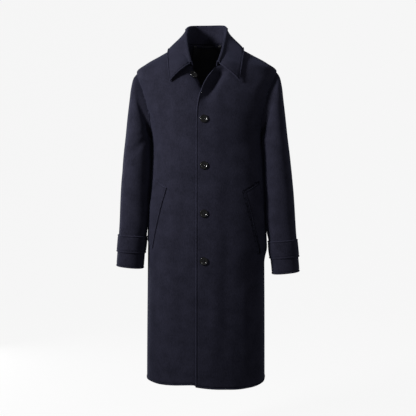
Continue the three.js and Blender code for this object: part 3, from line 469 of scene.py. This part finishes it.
def welt_margin(points, sign, pocket):
    """The shade's reach less the distance outwards from the welt's outline, which is below zero inside it;
    0 from that reach away. It places the shade painted round the far pocket."""
    corner = [(float(turn_of(np.array(x), np.array(z))), z + pocket) for x, z in WELT]
    ring = np.array([corner[0], corner[1], corner[3], corner[2], corner[0]])
    turn, z = turn_of(np.abs(points[..., 0]), points[..., 2]), points[..., 2]
    ways = [(b[0] - a[0]) * (z - a[1]) - (b[1] - a[1]) * (turn - a[0]) for a, b in zip(ring, ring[1:])]
    inside = np.all(np.array(ways) < 0, 0) | np.all(np.array(ways) > 0, 0)
    t = np.linspace(0, 1, 200)[:, None]
    outline = np.concatenate([mix(a, b, t) for a, b in zip(ring, ring[1:])])
    x = along(BODY, 1, outline[:, 1]) * np.cos(outline[:, 0]) ** (2 / ROUND)
    line = place(sign, 1, x, outline[:, 1])
    flat = points.reshape(-1, 3)
    near = np.full(len(flat), float(POCKET_SHADE_REACH))
    close = np.flatnonzero(np.abs(flat[:, 2] + 560) < 140)
    gap = ((flat[close, None] - line[None]) ** 2).sum(-1).min(1) ** 0.5
    near[close] = np.minimum(gap, POCKET_SHADE_REACH)
    near = near.reshape(z.shape)
    return POCKET_SHADE_REACH - np.where(inside, -near, near)


pieces = {}
for name, points in fronts.items():
    width = points.shape[1]
    neck = int(np.argmax(np.abs(points[-1, :, 1]) < 1))
    out = panel_normals(points, [width - 1], slice(neck, width))
    pieces["front_" + name] = wall("front_" + name, points, CLOTH, stitched=("start", "low"),
                                   sewn=("end", "top"), out=out, groove=2.0, swell=1.2)
    if name == "left":  # painted shade round the far pocket's outline, carried by an attribute
        pocket_shade_field = np.tile(welt_margin(points, *SIDES[name][::3]).ravel(), 2)
        pieces["front_left"].data.attributes.new("pocket_shade_field", "FLOAT", "POINT").data.foreach_set(
            "value", pocket_shade_field.astype(np.float32))
width = back_grid.shape[1]
flat_top = np.abs(back_grid[-1, :, 1]) < 1
out = outwards(back_grid)
for columns in (np.flatnonzero(flat_top[: width // 2]), width // 2 + np.flatnonzero(flat_top[width // 2:])):
    way = np.gradient(back_grid[-1, columns], axis=0)
    direction = np.stack([-way[:, 2], np.zeros(len(way)), way[:, 0]], -1)
    out[-1, columns] = direction * np.sign(direction[:, 2:3])
for column in (0, width - 1):
    own = smooth(back_grid[:, column, 2], UNDERARM - 3, UNDERARM + 12)[:, None]
    out[:, column] = mix(np.array([np.sign(back_grid[0, column, 0]), 0, 0]), out[:, column], own)
pieces["back"] = wall("back", back_grid, CLOTH, stitched=("low",), sewn=("start", "end", "top"), out=unit(out))


def off_body(points, clearance):
    """Moves points that lie nearer the body than the clearance out along the slope of the body's
    superellipse, four times over."""
    def inside(x, y, z):
        half = along(BODY, 1, z) + (x > 0) * along(LEFT_SIDE, 1, z)
        depth = np.where(y < 0, along(BODY, 2, z), along(BODY, 3, z))
        return (np.abs(x) / half) ** ROUND + (np.abs(y) / depth) ** ROUND - 1

    for _ in range(4):
        x, y, z = points[..., 0], points[..., 1], points[..., 2]
        value = inside(x, y, z)
        slope = np.stack([inside(x + 0.5, y, z) - inside(x - 0.5, y, z),
                          inside(x, y + 0.5, z) - inside(x, y - 0.5, z),
                          inside(x, y, z + 0.5) - inside(x, y, z - 0.5)], -1)
        steep = np.linalg.norm(slope, axis=-1)
        away = np.maximum(clearance - value / steep, 0)
        points = points + slope / steep[..., None] * away[..., None]
    return points


def sleeve_surface(side):
    """Sleeve as rings of superellipses from the armhole's seam down, joined along each turn by
    cubic pieces whose slopes weigh the two chords by their lengths; then its creases."""
    sign, swing, drop, _ = SIDES[side]
    turns = np.arange(132) * 2 * np.pi / 132
    on_front = turns <= np.pi
    share = np.where(on_front, 1 - turns / np.pi, turns / np.pi - 1)
    one = np.ones_like(share)
    seam, inside = (np.where(on_front[:, None], chest(sign, 1, one * u, share), chest(sign, -1, one * u, share))
                    for u in (1.0, 0.97))
    seam_turn = turn_of(np.abs(seam[:, 0]), seam[:, 2])
    seam_out = np.where(on_front[:, None], body_out(sign, 1, seam_turn, seam[:, 2]),
                        body_out(sign, -1, seam_turn, seam[:, 2]))
    under = (1 - np.cos(turns)) / 2
    first = seam + unit(seam - inside) * (mix(3, 1.5, under) * SEAM)[:, None]
    first = first + seam_out * (2 * SEAM * under)[:, None]
    rings = [first]
    c, s = power(np.cos(turns), 2 / SLEEVE_ROUND), power(np.sin(turns), 2 / SLEEVE_ROUND)
    for out_z, out_x, in_z, in_x, left, front, rear in SLEEVE:
        in_x = in_x + (left if sign > 0 else 0)
        level = mix(in_z, out_z, (1 + c) / 2)
        hang = smooth(-level, 200, 735)
        x = (out_x + in_x) / 2 + (out_x - in_x) / 2 * c + swing * hang
        y = (front + rear) / 2 - (rear - front) / 2 * s
        rings.append(np.stack([sign * x, y, level + drop * hang], -1))
    rings = np.array(rings)
    rings[FREE_RINGS + 1:] = off_body(rings[FREE_RINGS + 1:], SIDE_GAP)
    length = np.linalg.norm(np.diff(rings, axis=0), axis=-1)[..., None]
    chord = np.diff(rings, axis=0) / length
    inner = (chord[1:] * length[:-1] + chord[:-1] * length[1:]) / (length[1:] + length[:-1])
    slope = np.concatenate([chord[:1], inner, chord[-1:]])
    steps = [graded(24, 8, SEAM_STEPS)[:-1]] + [np.arange(0, 1, 1 / 7)] * 12
    steps += [np.arange(0, 1, 1 / 6), graded(24, 5, None, EDGE_STEPS)]
    places = np.concatenate([i + step for i, step in enumerate(steps)])
    i = np.minimum(places.astype(int), len(rings) - 2)
    t = (places - i)[:, None, None]
    size = length[i]
    points = (rings[i] * (1 + 2 * t) * (1 - t) ** 2 + slope[i] * size * t * (1 - t) ** 2
              + rings[i + 1] * t * t * (3 - 2 * t) - slope[i + 1] * size * t * t * (1 - t))
    out = normals_of(points, True)
    out = out * np.sign((out[60, 0, 0]) * sign)
    lean = np.minimum(1, 2.1 * ((1 + np.cos(turns)) / 2) ** 1.4)[:, None]
    fade = np.exp(-run(points, 0) / 1.5)[..., None]
    out = unit(mix(out, seam_out[None], lean[None] * fade))
    degrees = np.degrees(turns)[None, :]
    sunk = np.zeros(points.shape[:2])
    for own, middle, level, slant, depth, half, reach in SLEEVE_CREASES:
        if own == sign:
            off = (degrees - middle + 540) % 360 - 180
            sunk += depth * hump(off, reach) * hump(points[..., 2] - level - slant * off, half)
    return points - out * sunk[..., None], out, places


sleeves = {}
for name, (sign, *_) in SIDES.items():
    points, out, places = sleeve_surface(name)
    sleeves[name] = points
    pieces["sleeve_" + name] = wall("sleeve_" + name, points, CLOTH, stitched=("top",), sewn=("low",),
                                    out=out, looped=True)
    rows = (places >= STRAP_RINGS[0]) & (places <= STRAP_RINGS[1])
    raised = points[rows] + out[rows] * (TRIM_GAP + STRAP_WALL)
    length = run(raised, 0)
    total = length[-1:]
    wanted = graded(float(total.mean()), 8, EDGE_STEPS, EDGE_STEPS)
    fine = np.empty((len(wanted),) + raised.shape[1:])
    for k in range(raised.shape[1]):
        for axis in range(3):
            fine[:, k, axis] = np.interp(wanted * total[0, k], length[:, k], raised[:, k, axis])
    fine_out = normals_of(fine, True)
    fine_out *= np.sign((fine_out[5, 0, 0]) * sign)
    pieces["cuff_strap_" + name] = wall("cuff_strap_" + name, fine, STRAP_WALL, stitched=("low", "top"),
                                        out=fine_out, looped=True, radius=1.6, swell=0.5)


def neck_seam(share):
    """Neck seam from one front's collar end round the back to the other, by share from -1 to 1."""
    side = np.where(share < 0, -1, 1)
    size = np.abs(share)
    ends = {}
    for sign in (1, -1):
        front_count = np.clip(2 * (1 - size), 0, 1) * NECK_PLACE
        back_count = np.clip(2 * size, 0, 1) * NECK_PLACE
        ends[sign] = np.where((size >= 0.5)[..., None], chest(sign, 1, front_count, np.ones_like(size)),
                              chest(sign, -1, back_count, np.ones_like(size)))
    return np.where((side > 0)[..., None], ends[1], ends[-1])


def collar_lines(shares):
    """The stand's foot and its top, the line where the collar turns."""
    size = np.abs(shares)
    turn_line = np.stack([np.sign(shares) * along(FOLD, 1, size), along(FOLD, 2, size),
                          along(FOLD, 3, size)], -1)
    foot = neck_seam(shares)
    foot = foot + unit(turn_line - foot) * 3 * SEAM
    return foot, turn_line


shares = graded(440, 110, EDGE_STEPS, EDGE_STEPS) * 2 - 1
foot, turn_line = collar_lines(shares)
rise = graded(50, 22, SEAM_STEPS)[:, None, None]
stand_points = mix(foot[None], turn_line[None] + unit(turn_line - foot)[None] * 0.9, rise)
stand_out = -normals_of(stand_points)
stand_out *= np.sign((stand_out[10, 70] * (stand_points[10, 70] - np.array([0, 0, 20]))).sum())
height = run(stand_points, 0)
below = height[-1:] - height
inner_rise = 0.6 * (hump(below - 6, 0.9) + hump(below - 14, 0.9))
pieces["collar_stand"] = wall("collar_stand", stand_points, COLLAR_WALL, sewn=("low",), out=stand_out,
                              radius=0.6, inner=inner_rise)


def leaf_surface():
    """Half turn of radius ROLL + COLLAR_WALL over the stand's top, then a Bezier curve down to the
    outer edge on the coat, kept off the body."""
    out = stand_out[-1]
    up = unit(turn_line - foot)
    centre = turn_line + out * ROLL + up * 4 * SEAM
    radius = ROLL + COLLAR_WALL
    angle = np.pi * (1 - np.linspace(0, 1, 15))[:, None, None]
    roll = centre[None] + radius * (out[None] * np.cos(angle) + up[None] * np.sin(angle))
    start = roll[-1]
    size = np.abs(shares)
    x, z = along(LEAF_EDGE, 1, size), along(LEAF_EDGE, 2, size)
    ends = []
    for sign in (1, -1):
        for face in (1, -1):
            turn = turn_of(x, z)
            ends.append(body(sign, face, turn, z) + body_out(sign, face, turn, z) * LEAF_LIFT)
    edge = np.where((shares > 0)[:, None], np.where((size >= 0.5)[:, None], ends[0], ends[1]),
                    np.where((size >= 0.5)[:, None], ends[2], ends[3]))
    length = np.linalg.norm(edge - start, axis=-1, keepdims=True)
    drop = start - up * 0.22 * length
    rest = mix(edge, start, 0.3)
    t = graded(90, 34, None, EDGE_STEPS)[1:, None, None]
    curve = ((1 - t) ** 3 * start + 3 * t * (1 - t) ** 2 * drop + 3 * t * t * (1 - t) * rest + t ** 3 * edge)
    bow = LEAF_BOW[0] * smooth(size, LEAF_BOW[1], 1)[None] * np.sin(np.pi * t[..., 0])
    return np.concatenate([roll, off_body(curve, LEAF_LIFT + bow)])


leaf_points = leaf_surface()
leaf_out = normals_of(leaf_points)
leaf_out *= np.sign(leaf_out[-20, 5, 1]) * -1
leaf_out[0] = -stand_out[-1]
pieces["collar_leaf"] = wall("collar_leaf", leaf_points, COLLAR_WALL, stitched=("start", "end", "top"),
                             out=leaf_out, radius=1.6, groove=1.3, swell=0.9)


def front_face(side, x, z):
    """Point of a front at x on its own side and a level."""
    return place(side, 1, x, z)


def front_out(side, x, z):
    """Unit cross product of the front's differences across and up, turned outwards."""
    across = front_face(side, x + 2, z) - front_face(side, x - 2, z)
    up = front_face(side, x, z + 2) - front_face(side, x, z - 2)
    return unit(np.cross(across, up)) * side


for name, (sign, _, _, pocket) in SIDES.items():
    corners = [(float(turn_of(np.array(x), np.array(z))), z + pocket) for x, z in WELT]
    u = graded(32, 4, EDGE_STEPS, np.array([0, 0.3, 0.8, 1.5, 2.4, 3.6]))[None, :]
    v = graded(195, 46, EDGE_STEPS, EDGE_STEPS)[:, None]
    (ta, za), (tb, zb), (tc, zc), (td, zd) = corners
    turn = mix(mix(ta, tb, u), mix(tc, td, u), v)
    z = mix(mix(za, zb, u), mix(zc, zd, u), v)
    x = along(BODY, 1, z) * np.cos(turn) ** (2 / ROUND)
    out = front_out(sign, x, z)
    points = front_face(sign, x, z) + out * (WELT_GAP + WELT_WALL)
    pieces["pocket_welt_" + name] = wall("pocket_welt_" + name, points, WELT_WALL, out=out, radius=1.6,
                                         stitched=("start", "low", "top"), groove=0.6, swell=0.15)
    if sign > 0:  # painted shade along the far pocket welt's edges
        off, _ = edge_places(points, ("start", "top", "end"))
        pieces["pocket_welt_" + name].data.attributes.new("pocket_shade_field", "FLOAT", "POINT").data.foreach_set(
            "value", np.tile(np.maximum(POCKET_SHADE_REACH - POCKET_SHADE_IN - off, 0).ravel(), 2).astype(np.float32))


def inside_back(x, z, depth):
    """Point inside the back's wall at a depth, and the way towards the neck's middle."""
    side = np.where(x < 0, -1, 1)
    turn = turn_of(np.abs(x), z)
    out = np.where((side > 0)[..., None], body_out(1, -1, turn, z), body_out(-1, -1, turn, z))
    point = np.where((side > 0)[..., None], body(1, -1, turn, z), body(-1, -1, turn, z))
    return point - out * depth, -out


u, v = np.linspace(0, 1, 50)[None, :], np.linspace(0, 1, 46)[:, None]
points, out = inside_back(mix(-66, 66, u) * mix(1, 0.72, v), mix(-170, 2, v) + 0 * u,
                          CLOTH + LINING_GAP + LINING_WALL)
pieces["neck_lining"] = wall("neck_lining", points, LINING_WALL, out=out, radius=0.5)
u, v = np.linspace(0, 1, 60)[None, :], np.linspace(0, 1, 9)[:, None]
points, out = inside_back(mix(-38, 38, u) + 0 * v, 5 - 4 * np.sin(np.pi * u) - 7 * (1 - v),
                          CLOTH + LINING_GAP + LINING_WALL + 0.9 + 1.5)
points = points + out * (0.9 * np.sin(np.pi * u))[..., None]
pieces["hanging_loop"] = wall("hanging_loop", points, 1.5, out=out, radius=0.7)

# Button: height by radius, both as shares, with a raised rim round a dished middle
BUTTON_RIM = [(0, 0.56), (0.3, 0.58), (0.56, 0.62), (0.68, 0.76), (0.78, 0.96), (0.88, 1.0), (0.96, 0.84),
              (1.0, 0.5)]
HOLE_SPREAD, HOLE_RADIUS = 2.7, 1.15


def button_mesh(name, centre, out):
    """Disc turned from the rim's profile on a polar grid, its foot curving in below, with four
    steep round wells for the thread."""
    radius = np.concatenate([np.linspace(0, 5.2, 27), np.linspace(5.2, BUTTON_RADIUS, 22)[1:]])[:, None]
    angle = (np.arange(72) * 2 * np.pi / 72)[None, :]
    face = along(BUTTON_RIM, 1, radius / BUTTON_RADIUS) * BUTTON_HEIGHT + 0 * angle
    x, y = radius * np.cos(angle), radius * np.sin(angle)
    for i in range(4):
        a = np.pi / 4 + i * np.pi / 2
        gone = np.hypot(x - HOLE_SPREAD * np.cos(a), y - HOLE_SPREAD * np.sin(a))
        face = face - 2.2 * (1 - smooth(gone, HOLE_RADIUS * 0.75, HOLE_RADIUS * 1.25))
    foot_r = np.array([0.99, 0.95, 0.86, 0.72, 0.4, 0.0])[:, None] * BUTTON_RADIUS
    foot_z = np.array([0.36, 0.2, 0.09, 0.02, 0.0, 0.0])[:, None] * BUTTON_HEIGHT + 0 * angle
    grid = np.concatenate([np.stack([x, y, face], -1),
                           np.stack([foot_r * np.cos(angle), foot_r * np.sin(angle), foot_z], -1)])
    side_way = unit(np.cross(np.array([0.0, 0.0, 1.0]), out))
    up_way = np.cross(out, side_way)
    points = centre + grid[..., :1] * side_way + grid[..., 1:2] * up_way + grid[..., 2:] * out
    rows, columns = points.shape[:2]
    faces = quads(rows, columns, True)[:, ::-1]
    piece = put_mesh(name + "_disc", points.reshape(-1, 3), faces)
    weld = piece.modifiers.new("close", "WELD")
    weld.merge_threshold = 1e-6
    thread = []
    for i in (0, 2):
        a, b = np.pi / 4 + i * np.pi / 2, np.pi / 4 + (i + 1) * np.pi / 2
        t = np.linspace(0, 1, 15)[:, None]
        start, end = (np.array([HOLE_SPREAD * np.cos(w), HOLE_SPREAD * np.sin(w)]) for w in (a, b))
        line = np.concatenate([mix(start, end, t), 1.2 + 2.0 * np.sin(np.pi * t) ** 0.5], -1)
        thread.append(line)
    return piece, thread, (centre, side_way, up_way, out)


buttons = []
spots = [("button_1", -1, float(along(FRONT_EDGE, 2, BUTTON_UNDONE[1])) + BUTTON_UNDONE[0], *BUTTON_UNDONE[1:])]
spots += [("button_%d" % (i + 2), 1, 0.0, level, TRIM_GAP) for i, level in enumerate(BUTTONS_DONE_UP)]
for name, sign, x, z, gap in spots:
    x, z = np.array(float(x)), np.array(float(z))
    out = front_out(sign, x, z)
    piece, thread, place_of = button_mesh(name, front_face(sign, x, z) + out * gap, out)
    pieces[name] = piece
    buttons.append((thread, place_of))


def tube(line, radius, sides=8):
    """Tube round a line of points: circles across it, drawn in to a point at both ends."""
    way = unit(np.gradient(line, axis=0))
    side_way = unit(np.cross(way, np.array([0.3, 0.5, 0.8])))
    up_way = np.cross(way, side_way)
    angle = (np.arange(sides) * 2 * np.pi / sides)[None, :, None]
    size = radius * np.ones(len(line))
    size[0] = size[-1] = radius * 0.02
    return line[:, None] + size[:, None, None] * (side_way[:, None] * np.cos(angle) + up_way[:, None] * np.sin(angle))


thread_points, thread_faces, total = [], [], 0
for lines, (centre, side_way, up_way, out) in buttons:
    for line in lines:
        world = centre + line[:, :1] * side_way + line[:, 1:2] * up_way + line[:, 2:] * out
        grid = tube(world, 0.42)
        thread_faces.append(quads(*grid.shape[:2], True) + total)
        thread_points.append(grid.reshape(-1, 3))
        total += len(thread_points[-1])
threads = put_mesh("button_thread", np.concatenate(thread_points), np.concatenate(thread_faces))


class Shade:
    """A shader number: arithmetic on it adds Math nodes."""

    def __init__(self, tree, socket):
        self.tree, self.socket = tree, socket

    def math(self, operation, *others, clamp=False):
        """Math node with this number first."""
        node = self.tree.nodes.new("ShaderNodeMath")
        node.operation, node.use_clamp = operation, clamp
        for i, value in enumerate((self,) + others):
            self.tree.fill(node.inputs[i], value)
        return Shade(self.tree, node.outputs[0])

    def __add__(self, other): return self.math("ADD", other)
    def __radd__(self, other): return self.math("ADD", other)
    def __mul__(self, other): return self.math("MULTIPLY", other)
    def __rmul__(self, other): return self.math("MULTIPLY", other)
    def __sub__(self, other): return self.math("SUBTRACT", other)
    def __rsub__(self, other): return self.math("MULTIPLY", -1.0).math("ADD", other)
    def __truediv__(self, other): return self.math("DIVIDE", other)
    def __abs__(self): return self.math("ABSOLUTE")

    def above(self, low, high):
        """0 below low and 1 above high."""
        return ((self - low) / (high - low)).math("MINIMUM", 1.0).math("MAXIMUM", 0.0)

    def hump(self, middle, half):
        """1 at the middle and 0 from half away."""
        return (1 - abs(self - middle) / half).math("MAXIMUM", 0.0)


class Tree:
    """A material's nodes."""

    def __init__(self, name):
        self.material = bpy.data.materials.new(name)
        self.material.use_nodes = True
        tree = self.material.node_tree
        self.nodes, self.links = tree.nodes, tree.links
        self.shader = self.nodes["Principled BSDF"]

    def fill(self, socket, value):
        """Links a socket or a number, colour or vector into an input."""
        if isinstance(value, Shade):
            value = value.socket
        if isinstance(value, bpy.types.NodeSocket):
            self.links.new(value, socket)
        else:
            socket.default_value = value

    def node(self, kind, inputs, output=0, **settings):
        """Any node, by type, inputs and settings; gives one of its outputs."""
        node = self.nodes.new("ShaderNode" + kind)
        for key, value in settings.items():
            setattr(node, key, value)
        for key, value in inputs.items():
            self.fill(node.inputs[key], value)
        return node.outputs[output]

    def noise(self, scale, detail=2.0, rough=0.5, stretch=(1, 1, 1)):
        """Noise in the object's own coordinates, as a number about 0.5."""
        place_on = self.node("Mapping", {"Vector": self.node("TexCoord", {}, "Object"), "Scale": stretch})
        return Shade(self, self.node("TexNoise", {"Vector": place_on, "Scale": scale, "Detail": detail,
                                                  "Roughness": rough}, "Fac"))

    def colour(self, factor, one, two):
        """Colour between two."""
        node = self.nodes.new("ShaderNodeMix")
        node.data_type = "RGBA"
        for socket, value in ((node.inputs[0], factor), (node.inputs[6], one), (node.inputs[7], two)):
            self.fill(socket, value)
        return node.outputs[2]

    def finish(self, base, rough, height=None, depth=0.0003, **fixed):
        """Fills the shader: base colour, roughness, a bump of the height, and fixed values."""
        self.fill(self.shader.inputs["Base Color"], base)
        self.fill(self.shader.inputs["Roughness"], rough)
        if height is not None:
            bump = self.node("Bump", {"Height": height, "Distance": depth, "Strength": 1.0}, "Normal")
            self.fill(self.shader.inputs["Normal"], bump)
        for key, value in fixed.items():
            self.shader.inputs[key.replace("_", " ")].default_value = value
        return self.material


def wool_material():
    """Dark navy felted wool: soft nap, faint mottling, stitches along the edges with painted shade in their grooves
    and painted highlights on their dashes, and a dark line of painted shade round the far pocket.
    """
    tree = Tree("navy_wool")
    nap = tree.noise(900, 3, 0.62)
    lint = tree.noise(420, 2, 0.5, (1, 1, 0.35))
    patch = tree.noise(26, 2, 0.5)
    seam = tree.node("Attribute", {}, "Vector", attribute_name="seam")
    parts = tree.node("SeparateXYZ", {0: seam})
    off, at = Shade(tree, parts.node.outputs[0]), Shade(tree, parts.node.outputs[1])
    edge = Shade(tree, parts.node.outputs[2])
    # painted shade darkens the groove under the stitching (line), and a painted highlight lightens the stitch dashes
    # (thread); both also shape the bump
    line = off.hump(STITCH_IN, 1.1)
    # painted shade: a dark line round the far pocket welt darkens the base colour, with a shallow groove in the bump
    pocket_shade_field = POCKET_SHADE_REACH - Shade(tree, tree.node("Attribute", {}, "Fac", attribute_name="pocket_shade_field"))
    painted_pocket_shade = pocket_shade_field.hump(2.0, 4.4)
    thread = (at / 3.6).math("FRACT").hump(0.5, 0.5).above(0.12, 0.4) * off.hump(STITCH_IN, 0.75).above(0.1, 0.6)
    worn = 1 - edge.above(0.4, 3.0)
    tone = (nap * 1.0 + lint * 0.6 + patch * 0.5 - 0.66 + worn * 0.22 - line * 0.4 + thread * 0.3
            - painted_pocket_shade * 1.1)
    base = tree.colour(tone.math("MAXIMUM", 0.0).math("MINIMUM", 1.0),
                       (0.0040, 0.0040, 0.0075, 1), (0.034, 0.0335, 0.056, 1))
    height = nap * 0.8 + lint * 0.5 - line * 0.8 + thread * 1.0 - painted_pocket_shade * 0.6
    return tree.finish(base, 0.86 + 0.1 * nap, height, 0.0004, Sheen_Weight=0.12, Sheen_Roughness=0.5,
                       Sheen_Tint=(0.5, 0.55, 0.95, 1), Specular_IOR_Level=0.08)


def lining_material():
    """Dark smooth lining with a fine warp."""
    tree = Tree("dark_lining")
    warp = tree.noise(700, 2, 0.5, (1, 1, 0.1))
    patch = tree.noise(30, 2, 0.5)
    base = tree.colour(warp * 0.5 + patch * 0.5, (0.006, 0.006, 0.009, 1), (0.017, 0.0165, 0.024, 1))
    return tree.finish(base, 0.42 + 0.2 * warp, warp, 0.0001, Sheen_Weight=0.05)


def button_material():
    """Polished dark horn-like resin with faint cloudy streaks."""
    tree = Tree("dark_button")
    cloud = tree.noise(160, 3, 0.6, (1, 1, 2.5))
    fine = tree.noise(1500, 2, 0.5)
    base = tree.colour(cloud.above(0.35, 0.75), (0.0015, 0.0015, 0.002, 1), (0.006, 0.0055, 0.006, 1))
    return tree.finish(base, 0.18 + 0.12 * fine, fine, 0.00002, Coat_Weight=0.6, Coat_Roughness=0.06,
                       Specular_IOR_Level=0.4)


def thread_material():
    """Dark sewing thread, twisted."""
    tree = Tree("dark_thread")
    twist = tree.noise(2600, 1, 0.5, (1, 1, 0.4))
    return tree.finish(tree.colour(twist, (0.008, 0.008, 0.013, 1), (0.035, 0.036, 0.052, 1)), 0.6 + 0.2 * twist,
                       twist, 0.0001, Sheen_Weight=0.1)


def stage_material():
    """Pale paper, lit evenly, with a soft trace of the object's shadow."""
    tree = Tree("pale_paper")
    grain = tree.noise(3, 2, 0.5)
    return tree.finish(tree.colour(grain, (0.05, 0.05, 0.05, 1), (0.055, 0.055, 0.055, 1)), 0.9, None,
                       Emission_Color=(1, 1, 1, 1), Emission_Strength=0.905)


wool, lining, horn, thread_look = wool_material(), lining_material(), button_material(), thread_material()
for name, piece in pieces.items():
    material, slot = wool, "wool"
    if name == "neck_lining":
        material, slot = lining, "lining"
    if name.startswith("button"):
        material, slot = horn, "button"
    piece.data.materials.append(material)
    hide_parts(name)
threads.data.materials.append(thread_look)

# Pale paper floor that curves up behind
reach = np.linspace(-6, 6, 25)[None, :]
path_y = np.concatenate([np.linspace(-5, 2.4, 20), 2.4 + 1.6 * np.sin(np.linspace(0, np.pi / 2, 24))[1:],
                         np.full(10, 4.0)])
path_z = np.concatenate([np.full(20, -1.32), -1.32 + 1.6 * (1 - np.cos(np.linspace(0, np.pi / 2, 24)))[1:],
                         np.linspace(0.4, 5.0, 10)])
paper_grid = np.stack(np.broadcast_arrays(reach, path_y[:, None], path_z[:, None]), -1) / MM
mesh = bpy.data.meshes.new("paper")
mesh.from_pydata((paper_grid.reshape(-1, 3) * MM).tolist(), [], quads(*paper_grid.shape[:2]).tolist())
mesh.polygons.foreach_set("use_smooth", np.ones(len(mesh.polygons), bool))
paper = bpy.data.objects.new("paper", mesh)
bpy.context.scene.collection.objects.link(paper)
paper.data.materials.append(stage_material())
paper.visible_diffuse = paper.visible_glossy = False  # it doesn't light the coat


def area_light(name, place_at, aim, size, watts, cone=180, colour=(1, 1, 1)):
    """Rectangular soft light at a place, turned to an aim, its cone in degrees."""
    data = bpy.data.lights.new(name, "AREA")
    data.shape, data.size, data.size_y, data.energy, data.color = "RECTANGLE", size[0], size[1], watts, colour
    data.spread = np.radians(cone)
    light = bpy.data.objects.new(name, data)
    light.location = place_at
    away = np.array(aim) - np.array(place_at)
    light.rotation_euler = (np.arctan2(np.hypot(away[0], away[1]), -away[2]), 0, np.arctan2(-away[0], away[1]))
    bpy.context.scene.collection.objects.link(light)


area_light("key", (-1.45, -1.2, 0.3), (0.0, 0, -0.22), (0.35, 0.35), 20.5, 125)
area_light("kicker", (1.5, -1.6, 0.6), (0, 0, -0.4), (0.25, 0.25), 4)
area_light("rim", (-1.5, 1.3, -0.4), (0, 0, -0.6), (0.6, 1.8), 12)

world = bpy.data.worlds.new("studio")
world.use_nodes = True
world.node_tree.nodes["Background"].inputs[0].default_value = (1, 1, 1, 1)
world.node_tree.nodes["Background"].inputs[1].default_value = 0.155
bpy.context.scene.world = world

# The camera stands level with the middle of the coat, 2.3 m away and 3 degrees to its left side
data = bpy.data.cameras.new("camera")
data.sensor_width, data.lens = 36.0, 36.0 * 2300 / 3.25 / 416
data.shift_x = 1.5 / 416
camera = bpy.data.objects.new("camera", data)
turn = np.radians(3)
camera.location = (2.3 * np.sin(turn), -2.3 * np.cos(turn), -0.54)
camera.rotation_euler = (np.pi / 2, 0, turn)
bpy.context.scene.collection.objects.link(camera)
bpy.context.scene.camera = camera
bpy.context.scene.view_settings.view_transform = "Standard"
